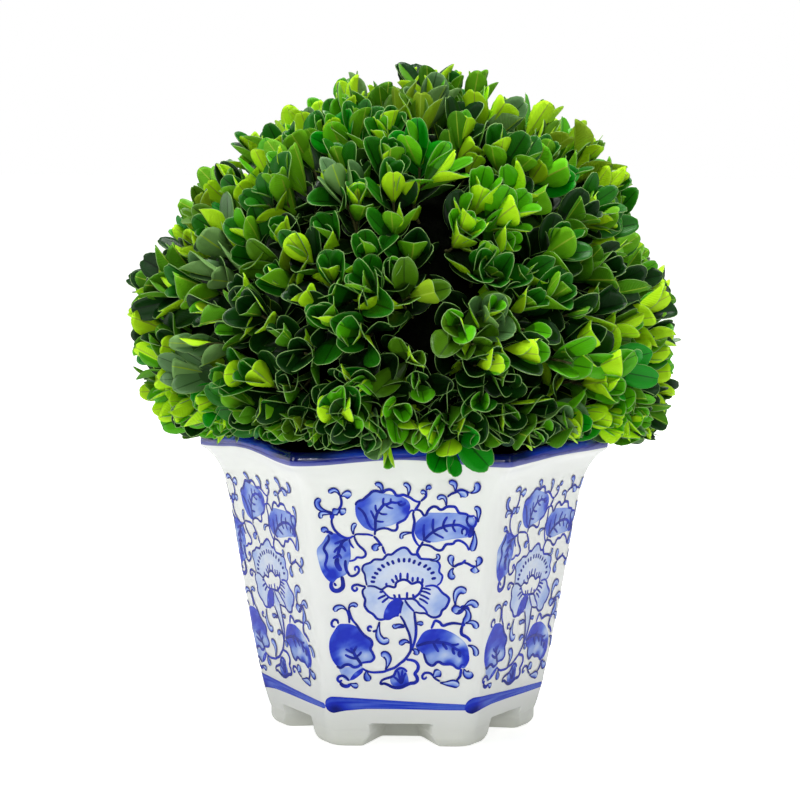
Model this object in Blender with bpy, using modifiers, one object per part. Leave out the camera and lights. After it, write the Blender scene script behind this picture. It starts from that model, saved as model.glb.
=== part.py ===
"""Potted preserved boxwood: a clipped dome of boxwood sprigs in a six-sided porcelain planter.

The planter stands on the ground plane, centred on the Z axis, with a corner on +X and a flat
side facing -Y. Everything is in metres. The crown is one clipped mass: a dense core that sprigs
of leaves stand out of, grown from one short stem that rises out of the filled planter.
"""

import math
import random

import bmesh
import bpy
from mathutils import Matrix, Vector
from mathutils.bvhtree import BVHTree

# Planter, measured to the rounded corners
RIM_ACROSS_CORNERS = 0.2032
LIP_HEIGHT = 0.1413          # middle of the rounded lip at a corner
LIP_ROUND = 0.0030
LIP_ARCH = 0.0030            # how much higher the lip is in the middle of each side
ARCH_FADES_OVER = 0.020      # the arch dies out this far below the lip
WALL = 0.0045
FOOT_CORNER_RADIUS = 0.0660  # centre to corner, just above the feet
WALL_SPREAD = 0.0200         # how far the wall leans out over WALL_RUN
WALL_RUN = 0.1017
WALL_CURVE = 0.78            # below 1 the wall bulges outwards
WALL_STARTS = 0.0085
FLARE = 0.0112               # extra reach of the flared lip at FLARE_TOP
FLARE_TOP = 0.1400
FLARE_FALLS_OVER = 0.0075
CORNER_ROUND = 0.009
FOOT_ROUND_IN = 0.0060       # the feet's rounded lower edge, inwards and upwards
FOOT_ROUND_UP = 0.0050
FLOOR_TOP = 0.0160
WALL_FOOT = 0.0180           # the inner wall's lowest level, over a small cove
FLOOR_COVE = 0.0030

# Scooped gap in the middle of each side, between two feet
GAP_FACE = 0.0515            # from the centre to the wall's face at the gap
GAP_HALF_TOP = 0.0128        # half widths in the face, under the rounded top and at the ground
GAP_HALF_FOOT = 0.0175
GAP_HEIGHT = 0.0112
GAP_TOP_ROUND = 0.0040
GAP_BACK = 0.0310            # from the centre to the back of the gap
GAP_BACK_WIDTH_SHARE = 0.56
GAP_BACK_HEIGHT_SHARE = 0.80
GAP_REACH = 0.0700           # the cutter starts this far out

# Fill inside the planter
FILL_TOP = 0.1300
CLEARANCE = 0.0004           # between pieces that touch in the real object

# Stem
STEM_FOOT = FILL_TOP + 0.0003
STEM_TIP = 0.1720
STEM_RADIUS = 0.0080
STEM_TIP_RADIUS = 0.0062
ROOT_FLARE = 0.0050

# Crown
INNER_STEM_TOP = 0.2400      # the stem that the twigs branch from, hidden in the core
BRANCHING = 0.30             # share of the core's radius that the twigs' roots are spread over
CROWN_CENTRE = Vector((0.0, 0.0, 0.1895))
CROWN_RADIUS = 0.1378        # out to the leaf tips
CORE_RADIUS = 0.1070
CORE_FOOT = 0.1310
CORE_FOOT_RADIUS = 0.0680
NECK_HEIGHT = 0.1495
NECK_RADIUS = 0.0760
SKIRT_HEIGHT = 0.1530        # where the core's round side begins
TIP_UNEVENNESS = 0.0040
LOWEST_LEAF = 0.1385
LIP_CLEARANCE = 0.0030       # between a leaf and the planter's lip

# Sprigs, each a straight twig with crossed pairs of leaves
SPRIG_COUNT = 92
LOWEST_SPRIG = -0.34         # sine of the lowest sprig's angle below the level
TWIG_RADIUS = 0.0018         # at the twig's tip
TWIG_TAPER = 1.6             # its root is this much thicker
LEAF_LENGTH = 0.0325
LEAF_WIDTH = 0.0190
LEAF_THICKNESS = 0.0018
LEAF_WIDEST = 0.60           # share of the length
LEAF_CUP = 0.0022
ROOT_FROM_AXIS = 0.0003      # each leaf is rooted inside its twig, on its own side of the twig's axis
# Each pair: how far below the sprig's tip it is rooted, its lean, and its share of the leaf's size
LEAF_PAIRS = (
    (0.0290, math.radians(60), 1.0),
    (0.0260, math.radians(37), 1.0),
    (0.0230, math.radians(13), 0.85),
)
TWIG_STOPS_SHORT = 0.0210    # of the sprig's tip, just past the last pair's roots
TRIES = 6                    # leans that a leaf tries before it is left out
FIRST_SPREAD = 0.14          # how far the first try may be off its place, in radians
WIDER_SPREAD = 0.07          # and how much further each other try
SEED = 11

HEXAGON = 6
HALF_SIDE_ANGLE = math.pi / HEXAGON

parts = bpy.data.collections.new("potted_boxwood")
cutters = bpy.data.collections.new("cutters")


def clear_scene():
    for obj in list(bpy.data.objects):
        bpy.data.objects.remove(obj, do_unlink=True)
    for collection in (parts, cutters):
        bpy.context.scene.collection.children.link(collection)


def make_material(name, colour, roughness, metallic=0.0):
    material = bpy.data.materials.new(name)
    material.use_nodes = True
    shader = material.node_tree.nodes["Principled BSDF"]
    shader.inputs["Base Color"].default_value = (*colour, 1.0)
    shader.inputs["Roughness"].default_value = roughness
    shader.inputs["Metallic"].default_value = metallic
    return material


def object_from(name, bm, collection, material=None):
    """Turns a finished bmesh into an object, with its faces pointing out."""
    bmesh.ops.recalc_face_normals(bm, faces=bm.faces)
    if bm.calc_volume(signed=True) < 0:
        bmesh.ops.reverse_faces(bm, faces=bm.faces)
    mesh = bpy.data.meshes.new(name)
    bm.to_mesh(mesh)
    bm.free()
    obj = bpy.data.objects.new(name, mesh)
    collection.objects.link(obj)
    if material:
        mesh.materials.append(material)
    return obj


def as_cutter(obj):
    obj.hide_render = True
    obj.display_type = "WIRE"
    return obj


def apply_modifiers(obj):
    """Bakes the object's modifiers into its mesh."""
    graph = bpy.context.evaluated_depsgraph_get()
    baked = bpy.data.meshes.new_from_object(obj.evaluated_get(graph))
    obj.modifiers.clear()
    obj.data = baked


# Planter


def wall_radius(height):
    """Outer corner radius of the planter's wall at a height: a bulging cone with a flared lip."""
    climb = max(height - WALL_STARTS, 0.0) / WALL_RUN
    flare = FLARE * math.exp((height - FLARE_TOP) / FLARE_FALLS_OVER)
    return FOOT_CORNER_RADIUS + WALL_SPREAD * climb**WALL_CURVE + flare


def inner_radius(height):
    """Inner corner radius: the wall's thickness inside, with the flare following a little higher."""
    return wall_radius(height - 0.6 * WALL) - WALL / math.cos(HALF_SIDE_ANGLE)


def hexagon_ring(corner_radius, rounding, height, arch=0.0, arc_steps=4, side_steps=4):
    """Points of a level hexagon with rounded corners. Its sides may arch up in their middles."""
    sharp_radius = corner_radius + rounding * (1 / math.cos(HALF_SIDE_ANGLE) - 1)
    arc_centre = sharp_radius - rounding / math.cos(HALF_SIDE_ANGLE)
    ring = []
    for side in range(HEXAGON):
        corner = side * 2 * HALF_SIDE_ANGLE
        centre = Vector((math.cos(corner), math.sin(corner), 0)) * arc_centre
        arc = []
        for step in range(arc_steps + 1):
            angle = corner + HALF_SIDE_ANGLE * (2 * step / arc_steps - 1)
            arc.append(centre + Vector((math.cos(angle), math.sin(angle), 0)) * rounding)
        ring.extend((point, 0.0) for point in arc)
        turn = Matrix.Rotation(2 * HALF_SIDE_ANGLE, 3, "Z")
        next_arc_start = turn @ arc[0]
        for step in range(1, side_steps):
            share = step / side_steps
            ring.append((arc[-1].lerp(next_arc_start, share), math.sin(math.pi * share) ** 2))
    return [Vector((p.x, p.y, height + arch * rise)) for p, rise in ring]


def loft(rings):
    """One closed skin through the rings, flat at both ends."""
    bm = bmesh.new()
    loops = [[bm.verts.new(point) for point in ring] for ring in rings]
    for lower, upper in zip(loops, loops[1:]):
        for i in range(len(lower)):
            following = (i + 1) % len(lower)
            bm.faces.new((lower[i], lower[following], upper[following], upper[i]))
    bm.faces.new(loops[0])
    bm.faces.new(loops[-1])
    return bm


def arch_at(height):
    share = 1 - (LIP_HEIGHT - height) / ARCH_FADES_OVER
    return LIP_ARCH * min(max(share, 0.0), 1.0) ** 2


def outer_heights():
    """Levels of the outer wall's rings, closer together where the lip flares."""
    wall = [0.0085, 0.018, 0.030, 0.045, 0.060, 0.077, 0.094, 0.110]
    flare = [LIP_HEIGHT - LIP_ROUND - drop for drop in (0.019, 0.012, 0.007, 0.0035, 0.0012)]
    return wall + flare


def inner_heights():
    """Levels of the inner wall's rings, which the fill shares."""
    return [WALL_FOOT, 0.030, 0.050, 0.077, 0.104] + outer_heights()[-5:-1]


def planter_rings():
    """From the flat underside up the outside, over the lip and down to the floor inside."""
    rings = []
    for step in range(4):
        angle = math.pi / 2 * step / 3
        radius = FOOT_CORNER_RADIUS - FOOT_ROUND_IN * (1 - math.sin(angle))
        rings.append(hexagon_ring(radius, CORNER_ROUND, FOOT_ROUND_UP * (1 - math.cos(angle))))
    for height in outer_heights():
        rings.append(hexagon_ring(wall_radius(height), CORNER_ROUND, height, arch_at(height)))
    lip_centre = RIM_ACROSS_CORNERS / 2 - LIP_ROUND
    for step in range(7):
        angle = math.radians(-50 + 210 * step / 6)
        radius = lip_centre + LIP_ROUND * math.cos(angle)
        height = LIP_HEIGHT + LIP_ROUND * math.sin(angle)
        rings.append(hexagon_ring(radius, CORNER_ROUND, height, LIP_ARCH))
    for height in reversed(inner_heights()):
        radius = inner_radius(height)
        rings.append(hexagon_ring(radius, CORNER_ROUND - WALL / 2, height, arch_at(height)))
    rings.append(hexagon_ring(inner_radius(WALL_FOOT) - FLOOR_COVE, CORNER_ROUND - WALL / 2, FLOOR_TOP))
    return rings


def gap_outline():
    """The gap in the plane of the wall's face: slanted sides, rounded top corners, open at the ground."""
    outline = [Vector((GAP_HALF_FOOT, 0, -GAP_TOP_ROUND)), Vector((GAP_HALF_FOOT, 0, 0))]
    outline.append(Vector(((2 * GAP_HALF_TOP + GAP_HALF_FOOT) / 3, 0, 0.3 * GAP_HEIGHT)))
    for step in range(4):
        angle = math.pi / 2 * step / 3
        across = GAP_HALF_TOP - GAP_TOP_ROUND * (1 - math.cos(angle))
        outline.append(Vector((across, 0, GAP_HEIGHT - GAP_TOP_ROUND * (1 - math.sin(angle)))))
    return outline + [Vector((-point.x, 0, point.z)) for point in reversed(outline)]


def gap_section(reach):
    """The gap's outline at a distance from the centre. It narrows and sinks evenly towards the back."""
    depth = (GAP_FACE - reach) / (GAP_FACE - GAP_BACK)
    wide = 1 - (1 - GAP_BACK_WIDTH_SHARE) * depth
    high = 1 - (1 - GAP_BACK_HEIGHT_SHARE) * depth
    return [Vector((point.x * wide, -reach, point.z * high)) for point in gap_outline()]


def make_foot_gap(side):
    """Cutter for the gap in one side."""
    bm = loft([gap_section(GAP_REACH), gap_section(GAP_BACK)])
    bm.transform(Matrix.Rotation(side * 2 * HALF_SIDE_ANGLE, 4, "Z"))
    return as_cutter(object_from(f"foot_gap_cutter_{side}", bm, cutters))


def make_planter(material):
    planter = object_from("hexagonal_planter", loft(planter_rings()), parts, material)
    for side in range(HEXAGON):
        cut = planter.modifiers.new(f"foot_gap_{side}", "BOOLEAN")
        cut.operation = "DIFFERENCE"
        cut.object = make_foot_gap(side)
    return planter


# Fill and stem


def make_fill(material):
    """Planting block that fills the planter to just under its lip, clear of the wall all round."""
    heights = [height for height in inner_heights() if height < FILL_TOP - 0.001] + [FILL_TOP]
    inset = CLEARANCE / math.cos(HALF_SIDE_ANGLE)
    rounding = CORNER_ROUND - WALL / 2
    rings = [hexagon_ring(inner_radius(WALL_FOOT) - FLOOR_COVE - inset, rounding, FLOOR_TOP + CLEARANCE)]
    rings += [hexagon_ring(inner_radius(height) - inset, rounding, height) for height in heights]
    return object_from("planting_block", loft(rings), parts, material)


def turned(name, profile, steps, collection, material=None):
    """Turns a profile of (radius, height) points, listed from top to bottom, round the Z axis."""
    mesh = bpy.data.meshes.new(name)
    points = [(radius, 0, height) for radius, height in profile]
    mesh.from_pydata(points, [(i, i + 1) for i in range(len(points) - 1)], [])
    obj = bpy.data.objects.new(name, mesh)
    collection.objects.link(obj)
    if material:
        mesh.materials.append(material)
    screw = obj.modifiers.new("turn", "SCREW")
    screw.steps = screw.render_steps = steps
    screw.use_merge_vertices = True
    screw.merge_threshold = 0.00001
    return obj


def stem_profile(grown=0.0):
    """The short stem from its tip down to the flat cut at the fill, with a root flare."""
    profile = [(0.0, STEM_TIP + grown)]
    for step in range(6):
        share = step / 5
        height = STEM_TIP + (STEM_FOOT - STEM_TIP) * share
        radius = STEM_TIP_RADIUS + (STEM_RADIUS - STEM_TIP_RADIUS) * share + ROOT_FLARE * share**5
        profile.append((radius + grown, height + grown * (1 - share)))
    return profile


def make_stem(material):
    return turned("short_stem", stem_profile() + [(0.0, STEM_FOOT)], 12, parts, material)


# Crown


def core_profile():
    """Dense heart of the crown: a ball above the lip, a narrower neck sunk into the planter."""
    lowest = math.asin((SKIRT_HEIGHT - CROWN_CENTRE.z) / CORE_RADIUS)
    profile = []
    for step in range(12):
        angle = math.pi / 2 + (lowest - math.pi / 2) * step / 11
        profile.append((CORE_RADIUS * math.cos(angle), CROWN_CENTRE.z + CORE_RADIUS * math.sin(angle)))
    profile[0] = (0.0, CROWN_CENTRE.z + CORE_RADIUS)
    return profile + [(NECK_RADIUS, NECK_HEIGHT), (CORE_FOOT_RADIUS, CORE_FOOT), (0.0, CORE_FOOT)]


def frame_along(direction, twist):
    """Rotation whose Z axis is the direction, turned about it by the twist."""
    return direction.to_track_quat("Z", "X").to_matrix() @ Matrix.Rotation(twist, 3, "Z")


def make_twig(name, start, end, radius, collection):
    """Three-sided twig, tapering to its end."""
    bm = bmesh.new()
    length = (end - start).length
    bmesh.ops.create_cone(
        bm, cap_ends=True, segments=3, radius1=TWIG_TAPER * radius, radius2=radius, depth=length
    )
    placed = Matrix.Translation((start + end) / 2) @ frame_along(end - start, 0.0).to_4x4()
    bm.transform(placed)
    return object_from(name, bm, collection)


def leaf_shape(length, width):
    """Oval leaf along +Z from its root, widest past its middle, its ridged back towards -Y."""
    bm = bmesh.new()
    bmesh.ops.create_uvsphere(bm, u_segments=3, v_segments=2, radius=1.0)
    for vert in bm.verts:
        if vert.co.z > 0.5:
            vert.co = (0, 0.5 * LEAF_CUP, length)
        elif vert.co.z < -0.5:
            vert.co = (0, 0, ROOT_FROM_AXIS)
        elif abs(vert.co.y) > 0.5:
            vert.co = (math.copysign(width / 2, vert.co.y), -LEAF_CUP, length * LEAF_WIDEST)
        else:
            vert.co = (0, -LEAF_CUP - LEAF_THICKNESS, length * LEAF_WIDEST)
    return bm


def in_crown_space(point):
    """True where a leaf may be: inside the crown's space, and above or outside the planter's lip."""
    if point.z < LOWEST_LEAF or (point - CROWN_CENTRE).length > CROWN_RADIUS + 0.001:
        return False
    if point.z > LIP_HEIGHT + LIP_ROUND + LIP_ARCH + 0.5 * LIP_CLEARANCE:
        return True
    lip_apothem = RIM_ACROSS_CORNERS / 2 * math.cos(HALF_SIDE_ANGLE)
    normals = (HALF_SIDE_ANGLE * (2 * side + 1) for side in range(HEXAGON))
    reach = max(point.x * math.cos(angle) + point.y * math.sin(angle) for angle in normals)
    return reach > lip_apothem + LIP_CLEARANCE


def sprig_directions(rng):
    """Directions spread evenly over the dome by the golden angle, each a little off its place."""
    golden = math.pi * (3 - math.sqrt(5))
    for i in range(SPRIG_COUNT):
        rise = 1 - (i + 0.5) / SPRIG_COUNT * (1 - LOWEST_SPRIG) + rng.uniform(-0.008, 0.008)
        rise = min(rise, 1.0)
        angle = golden * i + rng.uniform(-0.06, 0.06)
        spread = math.sqrt(1 - rise * rise)
        yield Vector((spread * math.cos(angle), spread * math.sin(angle), rise))


def free_of_leaves(bm, grown):
    """True if the leaf cuts none that has grown before it, and then it counts as grown too."""
    tree = BVHTree.FromBMesh(bm)
    middle = sum((vert.co for vert in bm.verts), Vector()) / len(bm.verts)
    for other_middle, other_tree in grown:
        if (middle - other_middle).length < 1.2 * LEAF_LENGTH and tree.overlap(other_tree):
            return False
    grown.append((middle, tree))
    return True


def grow_leaf(name, root, axis, around, lean, size, rng, grown, collection):
    """One leaf on its twig, leaning another way if it would cut a neighbour or leave the crown's space."""
    length = LEAF_LENGTH * size * rng.uniform(0.90, 1.05)
    width = LEAF_WIDTH * size * rng.uniform(0.90, 1.08)
    for attempt in range(TRIES):
        spread = FIRST_SPREAD + WIDER_SPREAD * attempt
        bm = leaf_shape(length, width)
        bm.transform(
            Matrix.Translation(root)
            @ frame_along(axis, around + rng.uniform(-2, 2) * spread).to_4x4()
            @ Matrix.Rotation(lean + rng.uniform(-1, 1) * spread, 4, "X")
        )
        outline = [vert.co for vert in bm.verts]
        middles = [(a + b) / 2 for a in outline for b in outline if a is not b]
        if all(in_crown_space(point) for point in outline + middles) and free_of_leaves(bm, grown):
            object_from(name, bm, collection)
            return 1
        bm.free()
    return 0


def grow_sprig(sprig, direction, rng, grown, collection):
    """A twig from the crown's stem out past the core, and its pairs of leaves at right angles."""
    tip = CROWN_CENTRE + direction * (CROWN_RADIUS - rng.uniform(0, TIP_UNEVENNESS))
    branch = Vector((0, 0, CROWN_CENTRE.z + BRANCHING * CORE_RADIUS * direction.z))
    axis = (tip - branch).normalized()
    make_twig(f"twig_{sprig}", branch, tip - axis * TWIG_STOPS_SHORT, TWIG_RADIUS, collection)
    turn = rng.uniform(0, math.pi)
    leaves = 0
    for pair, (below_tip, lean, size) in enumerate(LEAF_PAIRS):
        root = tip - axis * below_tip
        for side in range(2):
            around = turn + pair * math.pi / 2 + side * math.pi
            name = f"leaf_{sprig}_{pair}_{side}"
            leaves += grow_leaf(name, root, axis, around, lean, size, rng, grown, collection)
    return leaves


def make_crown(material):
    """Joins the core, its stem, the twigs and the leaves into one mass, cut clear of the short stem."""
    rng = random.Random(SEED)
    growth = bpy.data.collections.new("growth")
    bpy.context.scene.collection.children.link(growth)
    crown = turned("clipped_crown", core_profile(), 28, parts, material)
    apply_modifiers(crown)
    stem_foot, stem_top = Vector((0, 0, STEM_TIP + CLEARANCE)), Vector((0, 0, INNER_STEM_TOP))
    make_twig("inner_stem", stem_foot, stem_top, STEM_TIP_RADIUS, growth)
    grown = []
    leaves = 0
    for sprig, direction in enumerate(sprig_directions(rng)):
        leaves += grow_sprig(sprig, direction, rng, grown, growth)
    print(f"{leaves} leaves on {SPRIG_COUNT} sprigs")
    join = crown.modifiers.new("join", "BOOLEAN")
    join.operation = "UNION"
    join.operand_type = "COLLECTION"
    join.collection = growth
    join.solver = "EXACT"
    apply_modifiers(crown)
    for obj in list(growth.objects):
        bpy.data.objects.remove(obj, do_unlink=True)
    bpy.data.collections.remove(growth)
    bore = turned("stem_clearance", stem_profile(CLEARANCE) + [(0.0, STEM_FOOT - 0.004)], 12, cutters)
    apply_modifiers(as_cutter(bore))
    cut = crown.modifiers.new("stem_clearance", "BOOLEAN")
    cut.operation = "DIFFERENCE"
    cut.object = bore
    return crown


def main():
    clear_scene()
    porcelain = make_material("glazed_porcelain", (0.80, 0.82, 0.83), 0.12)
    foam = make_material("planting_foam", (0.05, 0.06, 0.03), 0.95)
    bark = make_material("boxwood_bark", (0.16, 0.10, 0.06), 0.85)
    foliage = make_material("preserved_leaf", (0.05, 0.17, 0.02), 0.55)
    pieces = [make_planter(porcelain), make_fill(foam), make_stem(bark), make_crown(foliage)]
    for piece in pieces:
        piece.data.shade_smooth()
        piece.data.set_sharp_from_angle(angle=math.radians(35))


main()
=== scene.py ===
# %% [markdown]
# # A potted preserved boxwood
#
# This lesson dresses a plain solid model of a potted boxwood: a clipped ball of boxwood sprigs in a
# six-sided blue and white porcelain planter. The solids give every size. The cells below add what the
# eye sees: thick glaze, brushed cobalt painting, and a few thousand cupped leaves on fine shoots.
#
# The first cell loads the solid model as a fixed frame.

# %% Load the frame
import math
import random

import bmesh
import bpy
import numpy as np
from mathutils import Matrix, Vector, noise


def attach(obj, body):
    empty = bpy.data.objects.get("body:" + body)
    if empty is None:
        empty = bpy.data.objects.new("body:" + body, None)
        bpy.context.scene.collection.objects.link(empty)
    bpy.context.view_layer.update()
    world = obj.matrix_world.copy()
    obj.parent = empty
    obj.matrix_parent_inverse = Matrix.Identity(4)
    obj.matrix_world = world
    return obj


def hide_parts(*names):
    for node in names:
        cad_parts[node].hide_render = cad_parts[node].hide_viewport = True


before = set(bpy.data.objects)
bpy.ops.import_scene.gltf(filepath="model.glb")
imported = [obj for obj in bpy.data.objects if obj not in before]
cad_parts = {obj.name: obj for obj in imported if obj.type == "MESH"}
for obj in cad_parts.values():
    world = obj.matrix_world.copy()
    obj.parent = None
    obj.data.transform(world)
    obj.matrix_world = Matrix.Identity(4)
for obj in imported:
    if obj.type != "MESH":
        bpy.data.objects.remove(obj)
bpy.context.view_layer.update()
MM = 0.001

# %% [markdown]
# ## Camera
#
# The photograph looks at the planter almost level and from far away, so its sides hardly converge. The
# camera stands 1.4 m away, a little to the right, and looks down by less than six degrees. Its place was
# worked out from corners of the planter, and it is given as a yaw, a pitch and a slight roll.

# %% Place the camera
CAMERA_PLACE = Vector((0.01892, -1.37847, 0.2984))
CAMERA_YAW = math.radians(0.873)
CAMERA_PITCH = 0.0979
CAMERA_ROLL = 0.0056
SENSOR = 36.0
LENS = 125.28
NEAREST_SEEN = 0.05
POT_MIDDLE = Vector((0, 0, 0.16))

ahead = Vector(
    (
        -math.sin(CAMERA_YAW) * math.cos(CAMERA_PITCH),
        math.cos(CAMERA_YAW) * math.cos(CAMERA_PITCH),
        -math.sin(CAMERA_PITCH),
    )
)
level = Vector((math.cos(CAMERA_YAW), math.sin(CAMERA_YAW), 0))
upright = level.cross(ahead)
rolled_right = level * math.cos(CAMERA_ROLL) + upright * math.sin(CAMERA_ROLL)
rolled_up = upright * math.cos(CAMERA_ROLL) - level * math.sin(CAMERA_ROLL)
camera_data = bpy.data.cameras.new("camera")
camera_data.lens = LENS
camera_data.sensor_width = SENSOR
camera_data.clip_start = NEAREST_SEEN
camera = bpy.data.objects.new("camera", camera_data)
camera.matrix_world = Matrix((rolled_right, rolled_up, -ahead)).transposed().to_4x4()
camera.location = CAMERA_PLACE
bpy.context.scene.collection.objects.link(camera)
bpy.context.scene.camera = camera
print("camera", round((CAMERA_PLACE - POT_MIDDLE).length, 3), "m from the pot's middle")

# %% [markdown]
# ## Colours and shader maths
#
# Colours are written as they look on a screen, from 0 to 255, and turned into the linear values that a
# renderer works with. Shader nodes are written as ordinary Python: Varying wraps a socket whose value
# changes over the surface, and its operators add Math nodes. Finish is a material in the making. Its
# noise is given by its scale, its number of layers and its roughness.

# %% Helpers for finishes


def screen(red, green, blue):
    """A screen colour of 0 to 255 as linear values with full alpha."""
    shares = [value / 255 for value in (red, green, blue)]
    linear = [s / 12.92 if s <= 0.04045 else ((s + 0.055) / 1.055) ** 2.4 for s in shares]
    return (*linear, 1.0)


class Varying:
    """A value that changes over a surface, so that shader maths reads like Python."""

    def __init__(self, tree, socket):
        self.tree = tree
        self.socket = socket

    def maths(self, operation, first, second=None, clamp=False):
        node = self.tree.nodes.new("ShaderNodeMath")
        node.operation = operation
        node.use_clamp = clamp
        for slot, value in zip(node.inputs, (first, second)):
            if isinstance(value, Varying):
                self.tree.links.new(value.socket, slot)
            elif value is not None:
                slot.default_value = value
        return Varying(self.tree, node.outputs[0])

    def __add__(self, other):
        return self.maths("ADD", self, other)

    __radd__ = __add__

    def __sub__(self, other):
        return self.maths("SUBTRACT", self, other)

    def __rsub__(self, other):
        return self.maths("SUBTRACT", other, self)

    def __mul__(self, other):
        return self.maths("MULTIPLY", self, other)

    __rmul__ = __mul__

    def __truediv__(self, other):
        return self.maths("DIVIDE", self, other)

    def clamped(self):
        return self.maths("ADD", self, 0.0, clamp=True)

    def sine(self):
        return self.maths("SINE", self)

    def size(self):
        return self.maths("ABSOLUTE", self)


class Finish:
    """A material in the making. Its Principled shader is at the end, and nodes are added before it."""

    def __init__(self, name, colour, roughness, **even):
        self.material = bpy.data.materials.new(name)
        self.material.use_nodes = True
        self.tree = self.material.node_tree
        self.shader = self.tree.nodes["Principled BSDF"]
        self.put(self.shader, {"Base Color": colour, "Roughness": roughness, **even})

    def put(self, node, sockets):
        for name, value in sockets.items():
            if isinstance(value, Varying):
                self.tree.links.new(value.socket, node.inputs[name])
            else:
                node.inputs[name].default_value = value

    def node(self, kind, output, settings=None, stops=None, **sockets):
        """One node of any kind: its settings first, then its sockets. Returns one of its outputs."""
        node = self.tree.nodes.new("ShaderNode" + kind)
        for name, value in (settings or {}).items():
            setattr(node, name, value)
        for i, (place, colour) in enumerate(stops or ()):
            stop = node.color_ramp.elements[i] if i < 2 else node.color_ramp.elements.new(place)
            stop.position = place
            stop.color = colour
        self.put(node, {name.replace("_", " "): value for name, value in sockets.items()})
        return Varying(self.tree, node.outputs[output])

    def noise(self, scale, detail=2.0, roughness=0.5, place=None):
        """Soft cloudy noise from 0 to 1, in the object's own metres unless a place is given."""
        place = place or self.node("TexCoord", "Object")
        return self.node("TexNoise", "Fac", Vector=place, Scale=scale, Detail=detail, Roughness=roughness)

    def mix(self, share, first, second):
        """A colour between two colours, each given or varying."""
        node = self.tree.nodes.new("ShaderNodeMix")
        node.data_type = "RGBA"
        colours = [socket for socket in node.inputs if socket.type == "RGBA"]
        for slot, value in zip([node.inputs["Factor"], *colours], (share, first, second)):
            if isinstance(value, Varying):
                self.tree.links.new(value.socket, slot)
            else:
                slot.default_value = value
        return Varying(self.tree, next(s for s in node.outputs if s.type == "RGBA"))

    def relief(self, height, distance):
        """Bumps of the given height, in metres where the varying height is 1."""
        bump = self.node("Bump", "Normal", Height=height, Distance=distance)
        self.put(self.shader, {"Normal": bump})

    def grained(self, grain, dark_from, dark, light_from, light, distance):
        """Two tones and bumps from one grain: dark in its hollows and light on its ridges."""
        stops = [(dark_from, dark), (light_from, light)]
        self.put(self.shader, {"Base Color": self.node("ValToRGB", "Color", stops=stops, Fac=grain)})
        self.relief(grain, distance)


# %% [markdown]
# ## Floor and light
#
# The photograph is a studio shot on white. A wide softbox overhead lights the crown's top, two large
# panels stand well to the sides, softer ones stand in front and behind, and a dim white room fills the
# rest, so the leaves that face the camera keep dark hearts. Two small lamps in front give the bright
# points on the glazed lip. The floor is a plain white sheet. It looks evenly white to the camera, as
# paper does when it is lit from below, but it lights the planter less than it seems, and it still
# catches a faint shadow. Two sheets behind and beside the planter show only as gloss: they lighten its
# side walls, and lay no light on the leaves.

# %% Set the stage
ROOM_BRIGHTNESS = 0.17
BACKDROP_BRIGHTNESS = 1.0
FLOOR_SIZE = 30.0
FLOOR_SINKS = 0.0002
PAPER_GRAIN = 60.0
SHEEN_SIZE = 1.7
FLOOR_GLOW = 0.66
FLOOR_BOUNCE = 0.13
GLOW_STARTS = 0.22
GLOW_FADES_OVER = 0.9


def even_grey(brightness):
    return (brightness, brightness, brightness, 1)


def plain_sheet(name, size, height):
    bm = bmesh.new()
    bmesh.ops.create_grid(bm, x_segments=1, y_segments=1, size=size / 2)
    bmesh.ops.translate(bm, vec=(0, 0, height), verts=bm.verts)
    mesh = bpy.data.meshes.new(name)
    bm.to_mesh(mesh)
    bm.free()
    sheet = bpy.data.objects.new(name, mesh)
    bpy.context.scene.collection.objects.link(sheet)
    return sheet


floor = plain_sheet("studio_floor", FLOOR_SIZE, -FLOOR_SINKS)
floor_finish = Finish("white_paper", screen(244, 244, 244), 0.9, **{"Emission Strength": 1.0})
grain = floor_finish.noise(PAPER_GRAIN)
place = floor_finish.node("TexCoord", "Object")
distance = floor_finish.node("VectorMath", "Value", {"operation": "LENGTH"}, Vector=place)
away = ((distance - GLOW_STARTS) / GLOW_FADES_OVER).clamped()
seen = floor_finish.node("LightPath", "Is Camera Ray")
paper_glow = floor_finish.mix(away, even_grey(FLOOR_GLOW), even_grey(1))
glow = floor_finish.mix(seen, even_grey(FLOOR_BOUNCE), paper_glow)
floor_finish.put(floor_finish.shader, {"Roughness": 0.85 + 0.1 * grain, "Emission Color": glow})
floor.data.materials.append(floor_finish.material)

world = bpy.data.worlds.new("white_room")
world.use_nodes = True
bpy.context.scene.world = world
room = world.node_tree
background = room.nodes["Background"]
backdrop = room.nodes.new("ShaderNodeBackground")
for node, brightness in ((background, ROOM_BRIGHTNESS), (backdrop, BACKDROP_BRIGHTNESS)):
    node.inputs["Color"].default_value = even_grey(1)
    node.inputs["Strength"].default_value = brightness
chosen = room.nodes.new("ShaderNodeMixShader")
rays = room.nodes.new("ShaderNodeLightPath")
room.links.new(rays.outputs["Is Camera Ray"], chosen.inputs["Fac"])
room.links.new(background.outputs[0], chosen.inputs[1])
room.links.new(backdrop.outputs[0], chosen.inputs[2])
room.links.new(chosen.outputs[0], room.nodes["World Output"].inputs["Surface"])


def softbox(name, place, aim, size, power):
    light = bpy.data.lights.new(name, "AREA")
    light.shape = "SQUARE"
    light.size = size
    light.energy = power
    box = bpy.data.objects.new(name, light)
    box.location = place
    box.rotation_euler = (Vector(aim) - Vector(place)).to_track_quat("-Z", "Y").to_euler()
    bpy.context.scene.collection.objects.link(box)
    return box


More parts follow.
